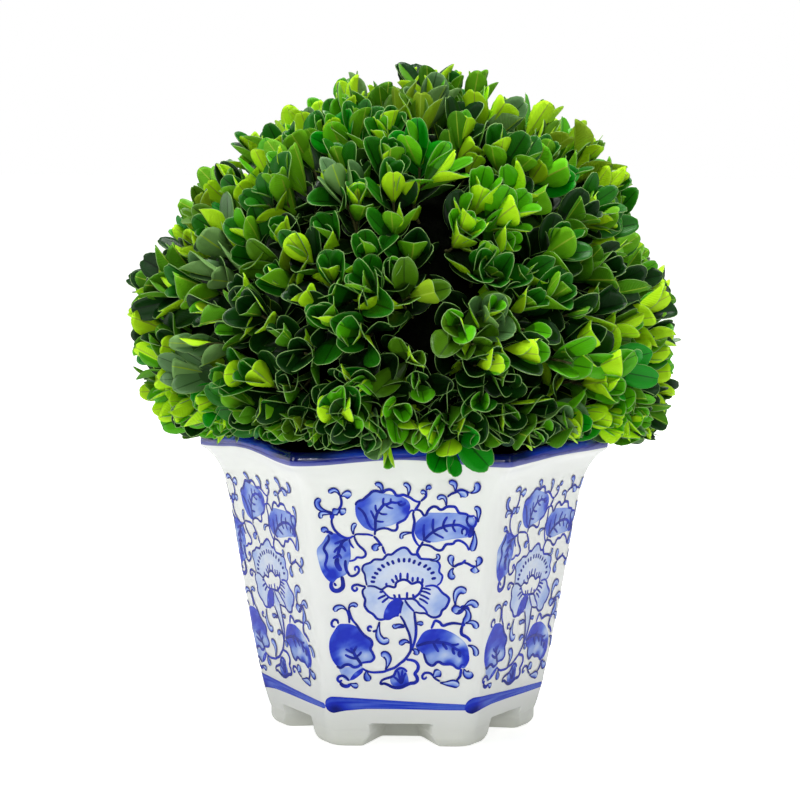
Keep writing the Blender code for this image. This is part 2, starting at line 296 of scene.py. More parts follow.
for name, place, aim, size, power in (
    ("overhead_softbox", (0.10, -0.20, 1.60), (0, 0, 0.2), 0.80, 25.5),
    ("left_panel", (-1.75, -1.05, 0.85), (0, 0, 0.15), 0.80, 11.5),
    ("right_panel", (1.75, -0.95, 0.85), (0, 0, 0.15), 0.80, 5.0),
    ("front_panel", (0.0, -2.4, 0.95), (0, 0, 0.12), 0.90, 6.0),
    ("rear_panel", (0.2, 1.8, 1.2), (0, 0, 0.2), 1.0, 12.0),
    ("left_glint", (-0.22, -1.75, 0.75), (-0.05, -0.09, 0.14), 0.018, 1.2),
    ("right_glint", (0.25, -1.75, 0.75), (0.05, -0.09, 0.14), 0.018, 1.2),
):
    softbox(name, place, aim, size, power)
for name, across, power in (("left_sheen", -1.7, 11.0), ("right_sheen", 1.7, 3.2)):
    sheet = softbox(name, (across, 1.0, 0.35), (0, 0, 0.15), SHEEN_SIZE, power)
    sheet.visible_diffuse = False
bpy.context.scene.view_settings.view_transform = "Standard"

# %% [markdown]
# ## The planter's wall
#
# The planter is slip-cast porcelain: a six-sided bowl with rounded corners, a bulging wall that flares
# into a rolled lip, and six stubby feet with scooped gaps between them. It could be cut with Booleans,
# but a cut leaves a hard edge where the glaze pools softly. So it is lofted from close rings, and the
# gaps are pushed into the rings near the ground with a smooth minimum, which rounds every edge. The lip
# arches a little in the middle of each side. One side sagged in the kiln and arches less.

# %% Sizes of the planter, the solids' own
# Lengths are in metres.
SIDES = 6
HALF_SIDE = math.pi / SIDES
RIM_ACROSS_CORNERS = 0.2032
LIP_HEIGHT = 0.1413
LIP_ROUND = 0.0030
LIP_TOP = 0.0053
LIP_ARCH = 0.0032
ARCH_SHARES = np.array([1.0, 1.0, 1.0, 1.0, 1.0, 0.25])
ARCH_FADES_OVER = 0.020
WALL = 0.0045
INNER_DROP = 0.6 * WALL
FOOT_CORNER_RADIUS = 0.0660
WALL_SPREAD = 0.0200
WALL_RUN = 0.1017
WALL_CURVE = 0.78
WALL_STARTS = 0.0085
FLARE = 0.0112
FLARE_TOP = 0.1400
FLARE_FALLS_OVER = 0.0075
CORNER_ROUND = 0.009
LIP_CORNER_ROUND = 0.0052
CORNERS_SHARPEN = (0.121, 0.139)
INNER_CORNER_ROUND = CORNER_ROUND - WALL / 2
FOOT_ROUND_IN = 0.0060
FOOT_ROUND_UP = 0.0050
FLOOR_TOP = 0.0160
WALL_FOOT = 0.0180
FLOOR_COVE = 0.0030


def wall_radius(height):
    """Outer corner radius at a height: a bulging cone with a flared lip."""
    climb = np.maximum(height - WALL_STARTS, 0.0) / WALL_RUN
    flare = FLARE * np.exp((height - FLARE_TOP) / FLARE_FALLS_OVER)
    return FOOT_CORNER_RADIUS + WALL_SPREAD * climb**WALL_CURVE + flare


def inner_radius(height):
    """Inner corner radius: the outer wall's a little lower down, less the thickness of the clay."""
    return wall_radius(height - INNER_DROP) - WALL / math.cos(HALF_SIDE)


def arch_at(height):
    """How far a level rises in the middle of each side. Only the lip and the wall just below it arch."""
    share = np.clip(1 - (LIP_HEIGHT - height) / ARCH_FADES_OVER, 0.0, 1.0)
    return LIP_ARCH * share**2


def corner_round(height):
    """Corners are softly rounded below and crisper at the lip."""
    low, high = CORNERS_SHARPEN
    share = np.clip((height - low) / (high - low), 0, 1)
    return CORNER_ROUND + (LIP_CORNER_ROUND - CORNER_ROUND) * share


for place, height in (("ground", 0.01), ("mid-wall", 0.07), ("lip", 0.14)):
    print("corner radius near the", place, round(float(wall_radius(height)), 4))

# %% Rings with rounded corners
ARC_STEPS = 10
SIDE_STEPS = 72


def turned_to(side, points):
    """Level points turned from the first side to another."""
    turn = side * 2 * HALF_SIDE
    cos, sin = math.cos(turn), math.sin(turn)
    return points @ np.array([[cos, sin], [-sin, cos]])


def hexagon_ring(corner_radius, rounding, height, arch=0.0):
    """Points of a level hexagon with rounded corners, its sides arched up in their middles."""
    sharp = corner_radius + rounding * (1 / math.cos(HALF_SIDE) - 1)
    arc_centre = sharp - rounding / math.cos(HALF_SIDE)
    angles = np.linspace(-HALF_SIDE, HALF_SIDE, ARC_STEPS + 1)
    arc = np.stack([arc_centre + rounding * np.cos(angles), rounding * np.sin(angles)], axis=1)
    shares = np.arange(1, SIDE_STEPS) / SIDE_STEPS
    next_arc_start = turned_to(1, arc[:1])[0]
    side = arc[-1] + (next_arc_start - arc[-1]) * shares[:, None]
    sector = np.concatenate([arc, side])
    rise = np.concatenate([np.zeros(len(arc)), np.sin(math.pi * shares) ** 2])
    level_points = np.concatenate([turned_to(k, sector) for k in range(SIDES)])
    return np.column_stack([level_points, height + arch * np.outer(ARCH_SHARES, rise).ravel()])


print("points in a ring:", len(hexagon_ring(0.08, CORNER_ROUND, 0.0)))

# %% [markdown]
# ### Scooped gaps between the feet
#
# Each gap is a shallow scoop in the middle of a side. It narrows and sinks evenly towards its back. For a
# point of the wall, the scoop's own outline tells how deep the clay is cut away there, and the smaller of
# the two depths wins. The smooth minimum rounds the edge where they meet, as thick glaze does.

# %% Scoop the gaps
# Lengths are in millimetres here.
GAP_FACE = 51.5
GAP_DEPTH = 20.5
GAP_HALF_TOP = 12.8
GAP_HALF_FOOT = 17.5
GAP_HEIGHT = 11.2
GAP_NARROWS = 0.44
GAP_SINKS = 0.20
GAP_SPREADS_BELOW = 7.2
GAP_SPREAD_CURVE = 1.3
GAP_EDGE_ROUND = 0.55
GAP_CORNER_ROUND = 0.10


def soft_minimum(first, second, rounding):
    """The smaller of two values, with the corner between them rounded."""
    share = np.clip(0.5 + 0.5 * (second - first) / rounding, 0.0, 1.0)
    return second + (first - second) * share - rounding * share * (1 - share)


def scooped(points):
    """The ring's points with the foot gaps pushed in, in metres."""
    facing = HALF_SIDE * (2 * np.floor(np.arctan2(points[:, 1], points[:, 0]) / (2 * HALF_SIDE)) + 1)
    out = (points[:, 0] * np.cos(facing) + points[:, 1] * np.sin(facing)) / MM
    across = (-points[:, 0] * np.sin(facing) + points[:, 1] * np.cos(facing)) / MM
    height = points[:, 2] / MM
    spread = np.clip(1 - height / GAP_SPREADS_BELOW, 0, 1) ** GAP_SPREAD_CURVE
    half_width = GAP_HALF_TOP + (GAP_HALF_FOOT - GAP_HALF_TOP) * spread
    from_sides = (1 - np.abs(across) / half_width) / GAP_NARROWS
    from_top = (1 - height / GAP_HEIGHT) / GAP_SINKS
    depth = soft_minimum(from_sides, from_top, 4 * GAP_CORNER_ROUND)
    depth = soft_minimum(depth, 1.0, 2 * GAP_CORNER_ROUND)
    cut = soft_minimum(out, GAP_FACE - GAP_DEPTH * depth, 4 * GAP_EDGE_ROUND)
    moved = points.copy()
    moved[:, 0] += (cut - out) * MM * np.cos(facing)
    moved[:, 1] += (cut - out) * MM * np.sin(facing)
    return moved


# %% [markdown]
# ### Lofting the shell
#
# The rings run from the flat underside up the outside, over the lip and down to the floor inside. Every
# vertex keeps how far it lies above the edge of the blue lip, measured along the clay, so that the
# finish can draw that edge crisply although the lip arches.

# %% Loft the planter
PAINT_EDGE = 0.1403
PAINT_RUNS_INSIDE = 0.010
FOOT_LEVELS = np.array([0.0, 0.1, 0.3, 0.6, 1.0, 1.5, 2.0, 2.6, 3.2, 3.8, 4.4, 4.9]) * MM
GAP_SPANS = ((5.4, 9.0, 0.45), (9.0, 13.0, 0.22), (13.0, 17, 0.5))
WALL_SPANS = ((18.0, 118.0, 4.0), (118.0, 138.0, 1.3))
INNER_LEVELS = np.array([18.0, 24, 30, 50, 77, 104, 115, 122, 127, 131, 134.5, 137.1]) * MM
LIP_STEPS = 26
LIP_FROM = math.radians(-50)
LIP_TURN = math.radians(210)


def levels(spans):
    """Heights in metres, from spans of start, end and step in millimetres."""
    return np.concatenate([np.arange(*span) for span in spans]) * MM


def planter_rings():
    """Every ring with how far it lies above the paint's edge."""
    for height in FOOT_LEVELS:
        tuck = FOOT_ROUND_IN * (1 - math.sqrt(1 - (1 - height / FOOT_ROUND_UP) ** 2))
        yield scooped(hexagon_ring(FOOT_CORNER_RADIUS - tuck, CORNER_ROUND, height)), height - PAINT_EDGE
    for height in levels(GAP_SPANS):
        yield scooped(hexagon_ring(wall_radius(height), CORNER_ROUND, height)), height - PAINT_EDGE
    for height in levels(WALL_SPANS):
        ring = hexagon_ring(wall_radius(height), corner_round(height), height, arch_at(height))
        yield ring, height - PAINT_EDGE
    for step in range(LIP_STEPS):
        angle = LIP_FROM + LIP_TURN * step / (LIP_STEPS - 1)
        tall = LIP_TOP if angle > 0 else LIP_ROUND
        radius = RIM_ACROSS_CORNERS / 2 - LIP_ROUND + LIP_ROUND * math.cos(angle)
        height = LIP_HEIGHT + tall * math.sin(angle)
        along = height - PAINT_EDGE
        if angle > math.pi / 2:
            along = 2 * (LIP_HEIGHT + LIP_TOP) - height - PAINT_EDGE
        yield hexagon_ring(radius, LIP_CORNER_ROUND, height, LIP_ARCH), along
    for height in INNER_LEVELS[::-1]:
        ring = hexagon_ring(inner_radius(height), INNER_CORNER_ROUND, height, arch_at(height))
        yield ring, height - LIP_HEIGHT + PAINT_RUNS_INSIDE
    floor_radius = inner_radius(WALL_FOOT) - FLOOR_COVE
    yield hexagon_ring(floor_radius, INNER_CORNER_ROUND, FLOOR_TOP), -PAINT_EDGE


def mesh_object(name, points, faces, finishes, slots=None):
    """A smooth mesh piece from arrays. slots gives each face its finish."""
    mesh = bpy.data.meshes.new(name)
    mesh.from_pydata(np.asarray(points).tolist(), [], faces)
    for finish in finishes:
        mesh.materials.append(finish.material)
    mesh.polygons.foreach_set("use_smooth", [True] * len(mesh.polygons))
    if slots is not None:
        mesh.polygons.foreach_set("material_index", slots)
    mesh.update()
    piece = bpy.data.objects.new(name, mesh)
    bpy.context.scene.collection.objects.link(piece)
    return piece


def triangles(piece):
    return sum(len(face.vertices) - 2 for face in piece.data.polygons)


def keep_value(piece, name, values):
    """Stores one number for each vertex, for a finish to read."""
    stored = piece.data.attributes.new(name, "FLOAT", "POINT")
    stored.data.foreach_set("value", np.asarray(values, dtype=np.float32))


def grid_faces(rows, columns, closed=True):
    """Quads between rows of points. Closed rows join their last point to their first."""
    faces = []
    for row in range(rows - 1):
        for column in range(columns if closed else columns - 1):
            right = (column + 1) % columns
            low, high = row * columns, (row + 1) * columns
            faces.append((low + column, low + right, high + right, high + column))
    return faces


def capped_faces(rows, columns):
    """Quads between closed rows that climb from the first to the last, with a cap at each end."""
    last = (rows - 1) * columns
    caps = [tuple(range(columns))[::-1], tuple(range(last, last + columns))]
    return grid_faces(rows, columns) + caps


rings = list(planter_rings())
ring_size = len(rings[0][0])
planter_faces = capped_faces(len(rings), ring_size)
print("planter:", len(rings), "rings,", len(planter_faces), "faces")

# %% [markdown]
# ### Glaze
#
# The body is a clear glaze over greyish white porcelain, glossy with faint unevenness, and darker towards
# the ground as painted shade. The lip is dipped in cobalt: nearly black where it is thick on top, brighter
# where the brush dragged, and thinned to a lavender veil over its last three millimetres, which ends in a
# crisp line. That lavender veil, and its rise at the corners, are partly painted reflection. All of that is
# one ramp over the distance above the paint's edge, stirred by streaks that run round the lip.

# %% Glazed porcelain
PORCELAIN = screen(228, 230, 228)
# A greyer porcelain colour, for random clouds and for painted shade near the ground.
PORCELAIN_CLOUDED_AND_SHADED = screen(226, 228, 218)
# The lowest, lavender stops are thinned cobalt and partly painted reflection.
LIP_STOPS = [
    (0.10, screen(96, 98, 170)),
    (0.24, screen(68, 76, 166)),
    (0.29, screen(8, 20, 138)),
    (0.36, screen(16, 46, 176)),
    (0.50, screen(24, 60, 192)),
    (0.62, screen(6, 28, 146)),
    (0.74, screen(3, 8, 92)),
    (0.90, screen(2, 4, 48)),
]
LIP_POOL = screen(4, 5, 58)
LIP_RAMP_LENGTH = 10
EDGE_WOBBLE = 1.1
EDGE_CRISPNESS = 8.0
STREAK_STIR = 5.5
PATCH_STIR = 3.5
VEIL_AND_REFLECTION_RISE_AT_CORNERS = 0.6
POOLS_FROM = 1.9
POOL_STRENGTH = 0.88
DUSK_CLOUDS = 0.22
PAINTED_SHADE_AT_GROUND = 0.75
GLOSS_CLOUDS = 0.08
LIP_GLOSS_FROM = -0.0012
STREAKS_ROUND = 2.2
STREAKS_UP = 260.0
GROUND_SHADE = 24 * MM
SHARP_FROM = math.radians(48)
WAVE_GRAIN = 45.0
PORE_GRAIN = 900.0
PORE_SHARE = 0.06
WAVE_HEIGHT = 0.00022


def fired_waves(finish):
    """The faint waves and pores of a fired glaze."""
    finish.relief(finish.noise(WAVE_GRAIN) + PORE_SHARE * finish.noise(PORE_GRAIN), WAVE_HEIGHT)


def glaze(name, roughness, gloss):
    """Clear glaze over porcelain, with the cobalt of the lip wherever the paint's edge is passed."""
    finish = Finish(name, PORCELAIN, roughness, **{"Specular IOR Level": gloss})
    split = finish.node("SeparateXYZ", "X", Vector=finish.node("TexCoord", "Object")).socket.node
    x, y, z = (Varying(finish.tree, split.outputs[axis]) for axis in "XYZ")
    round_the_lip = x.maths("ARCTAN2", y, x)
    streak_place = finish.node("CombineXYZ", "Vector", X=round_the_lip * STREAKS_ROUND, Y=z * STREAKS_UP)
    streaks = finish.noise(2.4, 4.0, 0.6, streak_place)
    patches = finish.noise(38.0, 3.0, 0.55)
    wobble = finish.noise(26.0)
    depth = finish.node("Attribute", "Fac", {"attribute_name": "above_paint_edge"}) / MM
    depth = depth + EDGE_WOBBLE * (wobble - 0.5)
    stir = STREAK_STIR * (streaks - 0.5) + PATCH_STIR * (patches - 0.5)
    stirred = depth + (depth * 0.5).clamped() * stir
    at_corner = (round_the_lip * SIDES + math.pi / 2).sine()
    # The lavender veil reaches higher at the corners, partly as painted reflection.
    share = (stirred + 1 - VEIL_AND_REFLECTION_RISE_AT_CORNERS * at_corner) / LIP_RAMP_LENGTH
    cobalt_lip = finish.node("ValToRGB", "Color", stops=LIP_STOPS, Fac=share)
    dusk = finish.noise(14.0)
    near_ground = (1 - z / GROUND_SHADE).clamped()
    # Painted shade: the glaze darkens towards the ground, over random grey clouds.
    clouds_and_painted_shade = (DUSK_CLOUDS * dusk + PAINTED_SHADE_AT_GROUND * near_ground).clamped()
    body = finish.mix(clouds_and_painted_shade, PORCELAIN, PORCELAIN_CLOUDED_AND_SHADED)
    pooled = (1.6 * at_corner - 0.2).clamped() * (stirred - POOLS_FROM).clamped()
    dipped = finish.mix(POOL_STRENGTH * pooled, cobalt_lip, LIP_POOL)
    colour = finish.mix((depth * EDGE_CRISPNESS).clamped(), body, dipped)
    finish.put(finish.shader, {"Base Color": colour, "Roughness": roughness + GLOSS_CLOUDS * dusk})
    fired_waves(finish)
    return finish


wall_glaze = glaze("glazed_porcelain", 0.20, 0.28)
lip_glaze = glaze("glazed_cobalt_lip", 0.07, 0.38)
above_edge = np.array([above for _, above in rings])
row_slots = ((above_edge[:-1] > LIP_GLOSS_FROM) & (above_edge[1:] > LIP_GLOSS_FROM)).astype(int)
planter_slots = np.concatenate([np.repeat(row_slots, ring_size), [0, 0]])
planter = mesh_object(
    "planter_shell",
    np.concatenate([ring for ring, _ in rings]),
    planter_faces,
    [wall_glaze, lip_glaze],
    planter_slots,
)
keep_value(planter, "above_paint_edge", np.repeat(above_edge, ring_size))
planter.data.set_sharp_from_angle(angle=SHARP_FROM)
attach(planter, "root")
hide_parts("hexagonal_planter")
print("planter shell:", triangles(planter), "triangles")

# %% [markdown]
# ## Cobalt painting
#
# Each side carries the same traditional scroll: a fan-shaped flower on a curling stem, with leaves and
# tendrils round it. The real painter draws it with a loaded brush and lays thin washes inside. A picture
# texture would blur and would have to be stored, so every brush stroke is a small mesh just above the
# glaze. A stroke is given in millimetres, along the side from its middle and up from the ground.
#
# One number for each vertex, its tone, says how thick the cobalt lies: 0 is bare glaze and 1 is navy.

# %% Where a point of the side lies on the glaze


def on_glaze(side, along, height, lift):
    """Points in metres on the outside of the wall, for millimetres along a side, up, and off the glaze."""
    along, height, lift = along * MM, height * MM, lift * MM
    level_height = height
    for _ in range(3):
        flat = (wall_radius(level_height) + CORNER_ROUND * (1 / math.cos(HALF_SIDE) - 1)) / 2
        flat = flat - CORNER_ROUND * math.tan(HALF_SIDE)
        share = np.clip((along / flat + 1) / 2, 0, 1)
        level_height = height - arch_at(level_height) * np.sin(math.pi * share) ** 2
    sharp = wall_radius(level_height) + CORNER_ROUND * (1 / math.cos(HALF_SIDE) - 1)
    flat = sharp / 2 - CORNER_ROUND * math.tan(HALF_SIDE)
    beyond = np.maximum(np.abs(along) - flat, 0)
    bend = np.minimum(beyond / CORNER_ROUND, 2 * HALF_SIDE)
    straight = beyond - bend * CORNER_ROUND
    reach = CORNER_ROUND + lift
    out = sharp * math.cos(HALF_SIDE) - CORNER_ROUND + reach * np.cos(bend) - straight * np.sin(bend)
    across = np.minimum(np.abs(along), flat) + reach * np.sin(bend) + straight * np.cos(bend)
    across = np.sign(along) * across
    facing = -math.pi / 2 + side * 2 * HALF_SIDE
    x = out * math.cos(facing) - across * math.sin(facing)
    y = out * math.sin(facing) + across * math.cos(facing)
    return np.column_stack([x, y, height])


print("front side's middle:", on_glaze(0, np.array([0.0]), np.array([80.0]), np.array([0.1])).round(4))

# %% [markdown]
# ### The brush
#
# A brush stroke is a ribbon along a smooth curve, with a width that swells and tapers and rounded ends. A
# curled tendril is a fat stroke with dark rims, because pigment creeps to the edges of a wet stroke. A
# wash is a patch spread from its middle to its outline, darker round the pools that the painter left.

# %% A painter's brush
# Widths are in millimetres, and tones and shares run from 0 to 1.
STROKE_STEP = 0.55
RIM_WIDTH = 0.58
THIN_END = 1.05
LINE_FULLNESS = 1.30
LINE_ENDS = 0.62
LINE_SWELLS = 0.38
LINE_TONE = 0.98
LINE_PALES = 0.12
END_NARROWS_TO = 0.004
HEAD_FULLNESS = 1.36
HEAD_FROM = 0.72
RIM_SOFTNESS = 0.35
RIM_BLEEDS = 0.35
FILL_LANE = 0.55
FILL_SHARE = 0.44
DAB_TONE = 0.95
WASH_RINGS = 10
WASH_CONTRAST = 1.18
BRUSH_MARKS = 0.18
DRIED_EDGE = 0.05
PALEST_WASH = 0.02
DEEPEST_WASH = 0.84


def smooth_step(value):
    value = np.clip(value, 0, 1)
    return value * value * (3 - 2 * value)


def across_a_line(half):
    """Offsets of the three points in each row of a thin stroke."""
    return half[:, None] * np.array([-1.0, 0.0, 1.0])


def flowing(points, closed=False):
    """A smooth curve through the points, sampled about every half millimetre."""
    knots = np.array(points, dtype=float)
    if closed:
        knots = np.vstack([knots[-1], knots, knots[0], knots[1]])
    else:
        knots = np.vstack([2 * knots[0] - knots[1], knots, 2 * knots[-1] - knots[-2]])
    runs = []
    for before, start, end, after in zip(knots, knots[1:], knots[2:], knots[3:]):
        count = max(2, int(np.linalg.norm(end - start) / STROKE_STEP) + 1)
        t = np.linspace(0, 1, count, endpoint=False)[:, None]
        bend = 2 * before - 5 * start + 4 * end - after
        twist = 3 * start - before - 3 * end + after
        runs.append(0.5 * (2 * start + (end - before) * t + bend * t**2 + twist * t**3))
    if not closed:
        runs.append(knots[-2][None])
    return np.vstack(runs)


class Brushwork:
    """Strokes for one side, kept as points (along, height, lift), a tone for each, and faces."""

    def __init__(self, lift, lift_step):
        self.points = []
        self.tones = []
        self.faces = []
        self.count = 0
        self.lift = lift
        self.lift_step = lift_step

    def add(self, flat_points, tones, faces):
        lifted = np.column_stack([flat_points, np.full(len(flat_points), self.lift)])
        self.points.append(lifted)
        self.tones.append(np.broadcast_to(tones, len(flat_points)))
        self.faces.extend(tuple(self.count + i for i in face) for face in faces)
        self.count += len(flat_points)
        self.lift += self.lift_step

    def ribbon(self, points, width_at, columns, tone_at):
        """A stroke with a width for each share of its length, and rows of points across it."""
        path = flowing(points)
        run = np.concatenate([[0], np.cumsum(np.linalg.norm(np.diff(path, axis=0), axis=1))])
        share = run / run[-1]
        heading = np.gradient(path, axis=0)
        heading /= np.linalg.norm(heading, axis=1)[:, None] + 1e-9
        sideways = np.stack([-heading[:, 1], heading[:, 0]], axis=1)
        half = width_at(share) / 2
        from_end = np.minimum(run, run[-1] - run) / half
        half = half * np.sqrt(np.clip(1 - (1 - np.minimum(from_end, 1)) ** 2, END_NARROWS_TO, 1))
        offsets, tones = columns(half), tone_at(share, half)
        rows = path[:, None, :] + sideways[:, None, :] * offsets[:, :, None]
        faces = [face[::-1] for face in grid_faces(len(path), offsets.shape[1], closed=False)]
        self.add(rows.reshape(-1, 2), tones.ravel(), faces)

    def line(self, width, *points):
        """A thin drawn line, a little fuller in its middle."""

        def width_at(share):
            return LINE_FULLNESS * width * (LINE_ENDS + LINE_SWELLS * np.sin(math.pi * share) ** 0.5)

        def tone_at(share, half):
            return np.repeat((LINE_TONE - LINE_PALES * smooth_step(share))[:, None], 3, axis=1)

        self.ribbon(points, width_at, across_a_line, tone_at)

    def comma(self, head, shade, *points):
        """A curled tendril, thin at its root and fat at its head, with dark rims round a lighter fill."""

        def width_at(share):
            return THIN_END + (HEAD_FULLNESS * head - THIN_END) * smooth_step(share / HEAD_FROM)

        def columns(half):
            inner = np.maximum(half - RIM_WIDTH, 0.06 * half)
            return np.stack([-half, -inner, -FILL_LANE * inner, FILL_LANE * inner, inner, half], axis=1)

        def tone_at(share, half):
            fill = 1 - (1 - FILL_SHARE * shade) * smooth_step((half - RIM_WIDTH) / RIM_SOFTNESS)
            rim = np.ones_like(half)
            near = fill + (rim - fill) * RIM_BLEEDS
            return np.stack([rim, rim, near, fill, rim, rim], axis=1)

        self.ribbon(points, width_at, columns, tone_at)

    def dot(self, length, width, place, towards):
        """A short oval dab, its long way pointing at a place."""
        place, towards = np.array(place), np.array(towards)
        heading = (towards - place) / np.linalg.norm(towards - place)
        ends = [place - heading * length / 2, place, place + heading * length / 2]

        def width_at(share):
            return np.full_like(share, width)

        def tone_at(share, half):
            return np.full((len(share), 3), DAB_TONE)

        self.ribbon(ends, width_at, across_a_line, tone_at)

    def wash(self, tone, pools, *outline):
        """A wet patch. Its pools, (along, height, reach, tone), are where cobalt gathered or thinned."""
        edge = flowing(outline, closed=True)
        along, height = edge.T
        if np.sum(along * np.roll(height, -1) - np.roll(along, -1) * height) < 0:
            edge = edge[::-1]
        middle = edge.mean(axis=0)
        spread = np.linspace(0, 1, WASH_RINGS + 1)[1:]
        shell = middle + (edge[None] - middle) * spread[:, None, None]
        points = np.vstack([middle[None], shell.reshape(-1, 2)])
        tones = np.full(len(points), float(tone))
        for along, height, reach, pool in pools:
            gap = np.hypot(points[:, 0] - along, points[:, 1] - height) / reach
            tones += (tone + WASH_CONTRAST * (pool - tone) - tones) * np.exp(-(gap**2))
        brushed = [noise.noise((0.16 * x + 0.10 * y, 0.55 * y - 0.3 * x, tone * 9)) for x, y in points]
        tones = tones * (1 + BRUSH_MARKS * np.array(brushed))
        tones[-len(edge):] += DRIED_EDGE
        faces = [tuple(i + 1 for i in face[::-1]) for face in grid_faces(len(spread), len(edge))]
        faces += [(0, 1 + i, 1 + (i + 1) % len(edge)) for i in range(len(edge))]
        self.add(points, np.clip(tones, PALEST_WASH, DEEPEST_WASH), faces)


washes = Brushwork(lift=0.030, lift_step=0.002)
scrolls = Brushwork(lift=0.060, lift_step=0.0012)
print("brush ready: strokes every", STROKE_STEP, "mm")

# %% [markdown]
# ### The flower
#
# A fan of scalloped lobes with a row of dabs, a cloud-shaped heart with a comb of ticks over it, a petal
# on each side, one dark petal, and a trumpet-shaped calyx. First the pale washes, then the lines.
#
# A wash is a row of its tone, its pools and its outline. A line is a row of its width and its points.

# %% Paint the flower
TICK_WIDTH = 0.95
TICK_BULGE = 0.1
DAB_LENGTH = 2.5
DAB_WIDTH = 1.35
FLOWER_HEART = (1.0, 82.0)

for tone, pools, *outline in (
    (0.17, [(-16, 90, 4, 0.28), (17, 91, 4, 0.30), (0, 98, 4, 0.24), (0, 88, 8, 0.11)],
     (-16.2, 81.2), (-16.8, 85), (-18.3, 89.2), (-16.2, 92.2), (-13.4, 93.7), (-9.4, 94.2), (-6.6, 96.6),
     (-2.6, 98.2), (0.6, 100), (4, 98.4), (6.6, 96.8), (9, 95), (13.8, 94.5), (17.2, 93.4), (18.4, 89.8),
     (19.4, 86.4), (18.6, 83), (16.6, 81.4), (12, 81), (9.8, 82.4), (5, 82.6), (1, 84), (-2.6, 82.4),
     (-6.2, 81.2), (-9, 79.8), (-12.4, 80.9)),
    (0.15, [(-15, 74, 4, 0.22)],
     (-16.6, 80.4), (-18.2, 78.4), (-17.2, 75), (-16.9, 71), (-14, 67.8), (-11.6, 65.2), (-8.4, 64.8),
     (-7.6, 70), (-5.4, 74), (-7.6, 77.6), (-9, 79.4), (-12.4, 80.6)),
    (0.16, [(18, 72, 5, 0.30), (21, 76, 3, 0.28), (13, 78, 4, 0.12)],
     (12.4, 67.6), (14.6, 66.2), (16.6, 66), (18.6, 67), (19.6, 69.4), (22.3, 72.8), (22.8, 75),
     (20, 77.8), (18.4, 80), (15.4, 81.6), (11.2, 81.2), (9.4, 79), (8.8, 76), (8.4, 73.2), (11, 70.4)),
    (0.12, [(1.8, 71, 3, 0.24), (4.6, 60, 4, 0.14)],
     (1.8, 74.6), (3.4, 71.8), (6.2, 69), (6.7, 65), (7.1, 59), (5.8, 52), (5, 51.6), (4.6, 54.5),
     (3.8, 58), (2.4, 61.4), (0.4, 65.4), (-0.3, 68), (0.2, 71.5)),
    (0.10, [],
     (2.2, 74.8), (5, 75.2), (7.2, 74.2), (8.8, 72.2), (12.2, 68.6), (9, 68.2), (5.6, 69.6), (3.4, 72)),
    (0.86, [(-6.9, 69, 1.3, 0.62), (-2.4, 72.6, 2.6, 0.92)],
     (-8.2, 65.2), (-7.9, 68.6), (-6.6, 71.6), (-4.8, 73.8), (-2.6, 74.8), (-0.2, 74.6), (1, 73.4),
     (0.2, 71), (-0.5, 68.4), (-1.2, 66.8), (-3.4, 66.2), (-5.6, 65.2)),
):
    washes.wash(tone, pools, *outline)
for width, *points in (
    (0.95, (-16.2, 81.2), (-16.9, 84.4), (-17.3, 87), (-18.4, 89.2), (-17.6, 91.4), (-14.5, 92.7),
     (-12.6, 94.2), (-9.4, 94.2), (-8.4, 94.6), (-6.6, 96.6), (-4.4, 96.8), (-2.2, 98.6), (0.6, 100.1),
     (2.8, 99.7), (5, 97), (7.4, 96.7), (9.2, 94.9), (11.4, 94.6), (14.4, 94.4), (17.2, 93.4),
     (18.4, 91.4), (18, 88.5), (19.6, 86.4), (18.8, 83.2), (17, 81.6)),
    (1.0, (-16.2, 81), (-14.5, 81.2), (-12.4, 80.9), (-10.6, 80), (-9, 79.6), (-6.4, 81.2), (-3, 80.7),
     (-2.2, 83), (0.6, 84.4), (3, 84), (5.2, 82.5), (8, 83.4), (9.7, 82.5), (10, 80.8), (8.9, 78),
     (7, 76.2), (5.6, 75.2), (0.6, 75), (-4.4, 75.2), (-6.4, 76.4), (-9, 79.3)),
):
    scrolls.line(width, *points)
for start, end in (
    ((-7, 81), (-7, 83)), ((-3.2, 82.6), (-4.7, 84.9)), ((-1.8, 83.8), (-2.8, 86.9)),
    ((-0.3, 84.2), (-0.3, 88)), ((3, 84), (3.1, 88)), ((5.4, 83.2), (5.6, 86)), ((7.8, 83.4), (8, 86)),
    ((10, 82.4), (10.3, 85.4)), ((-2.6, 75.4), (-3.6, 77.3)), ((-0.6, 75), (-1, 77.5)),
    ((2.8, 75.2), (2.9, 78.6)), ((6, 75.6), (5.6, 77.6)), ((-7.2, 76.8), (-11.2, 74.7)),
    ((-5.8, 75.7), (-9.2, 72.9)), ((-8.4, 78.4), (-10.4, 78.1)),
):
    middle = ((start[0] + end[0]) / 2, (start[1] + end[1]) / 2 + TICK_BULGE)
    scrolls.line(TICK_WIDTH, start, middle, end)
for width, *points in (
    (0.85, (9.8, 80.4), (12, 80.1), (14.4, 79.5)),
    (0.85, (9.2, 79), (11.8, 78.4), (14.2, 77.2)),
    (0.85, (8.9, 77.2), (11.2, 76.2), (13.6, 74.8)),
    (0.85, (8.4, 75.4), (10.8, 74.2), (13, 72.5)),
):
    scrolls.line(width, *points)
for dab in (
    (-13.4, 83.3), (-13, 85.4), (-11.8, 87.4), (-10.3, 89.3), (-8.6, 91), (-6.2, 92.2), (-3.9, 92.9),
    (-1.1, 93.9), (1.4, 94), (3.9, 94), (6.2, 93.2), (8.7, 92.3), (11.4, 91.2), (13.2, 89.8), (14.9, 87.9),
    (15.5, 85.2),
):
    scrolls.dot(DAB_LENGTH, DAB_WIDTH, dab, FLOWER_HEART)
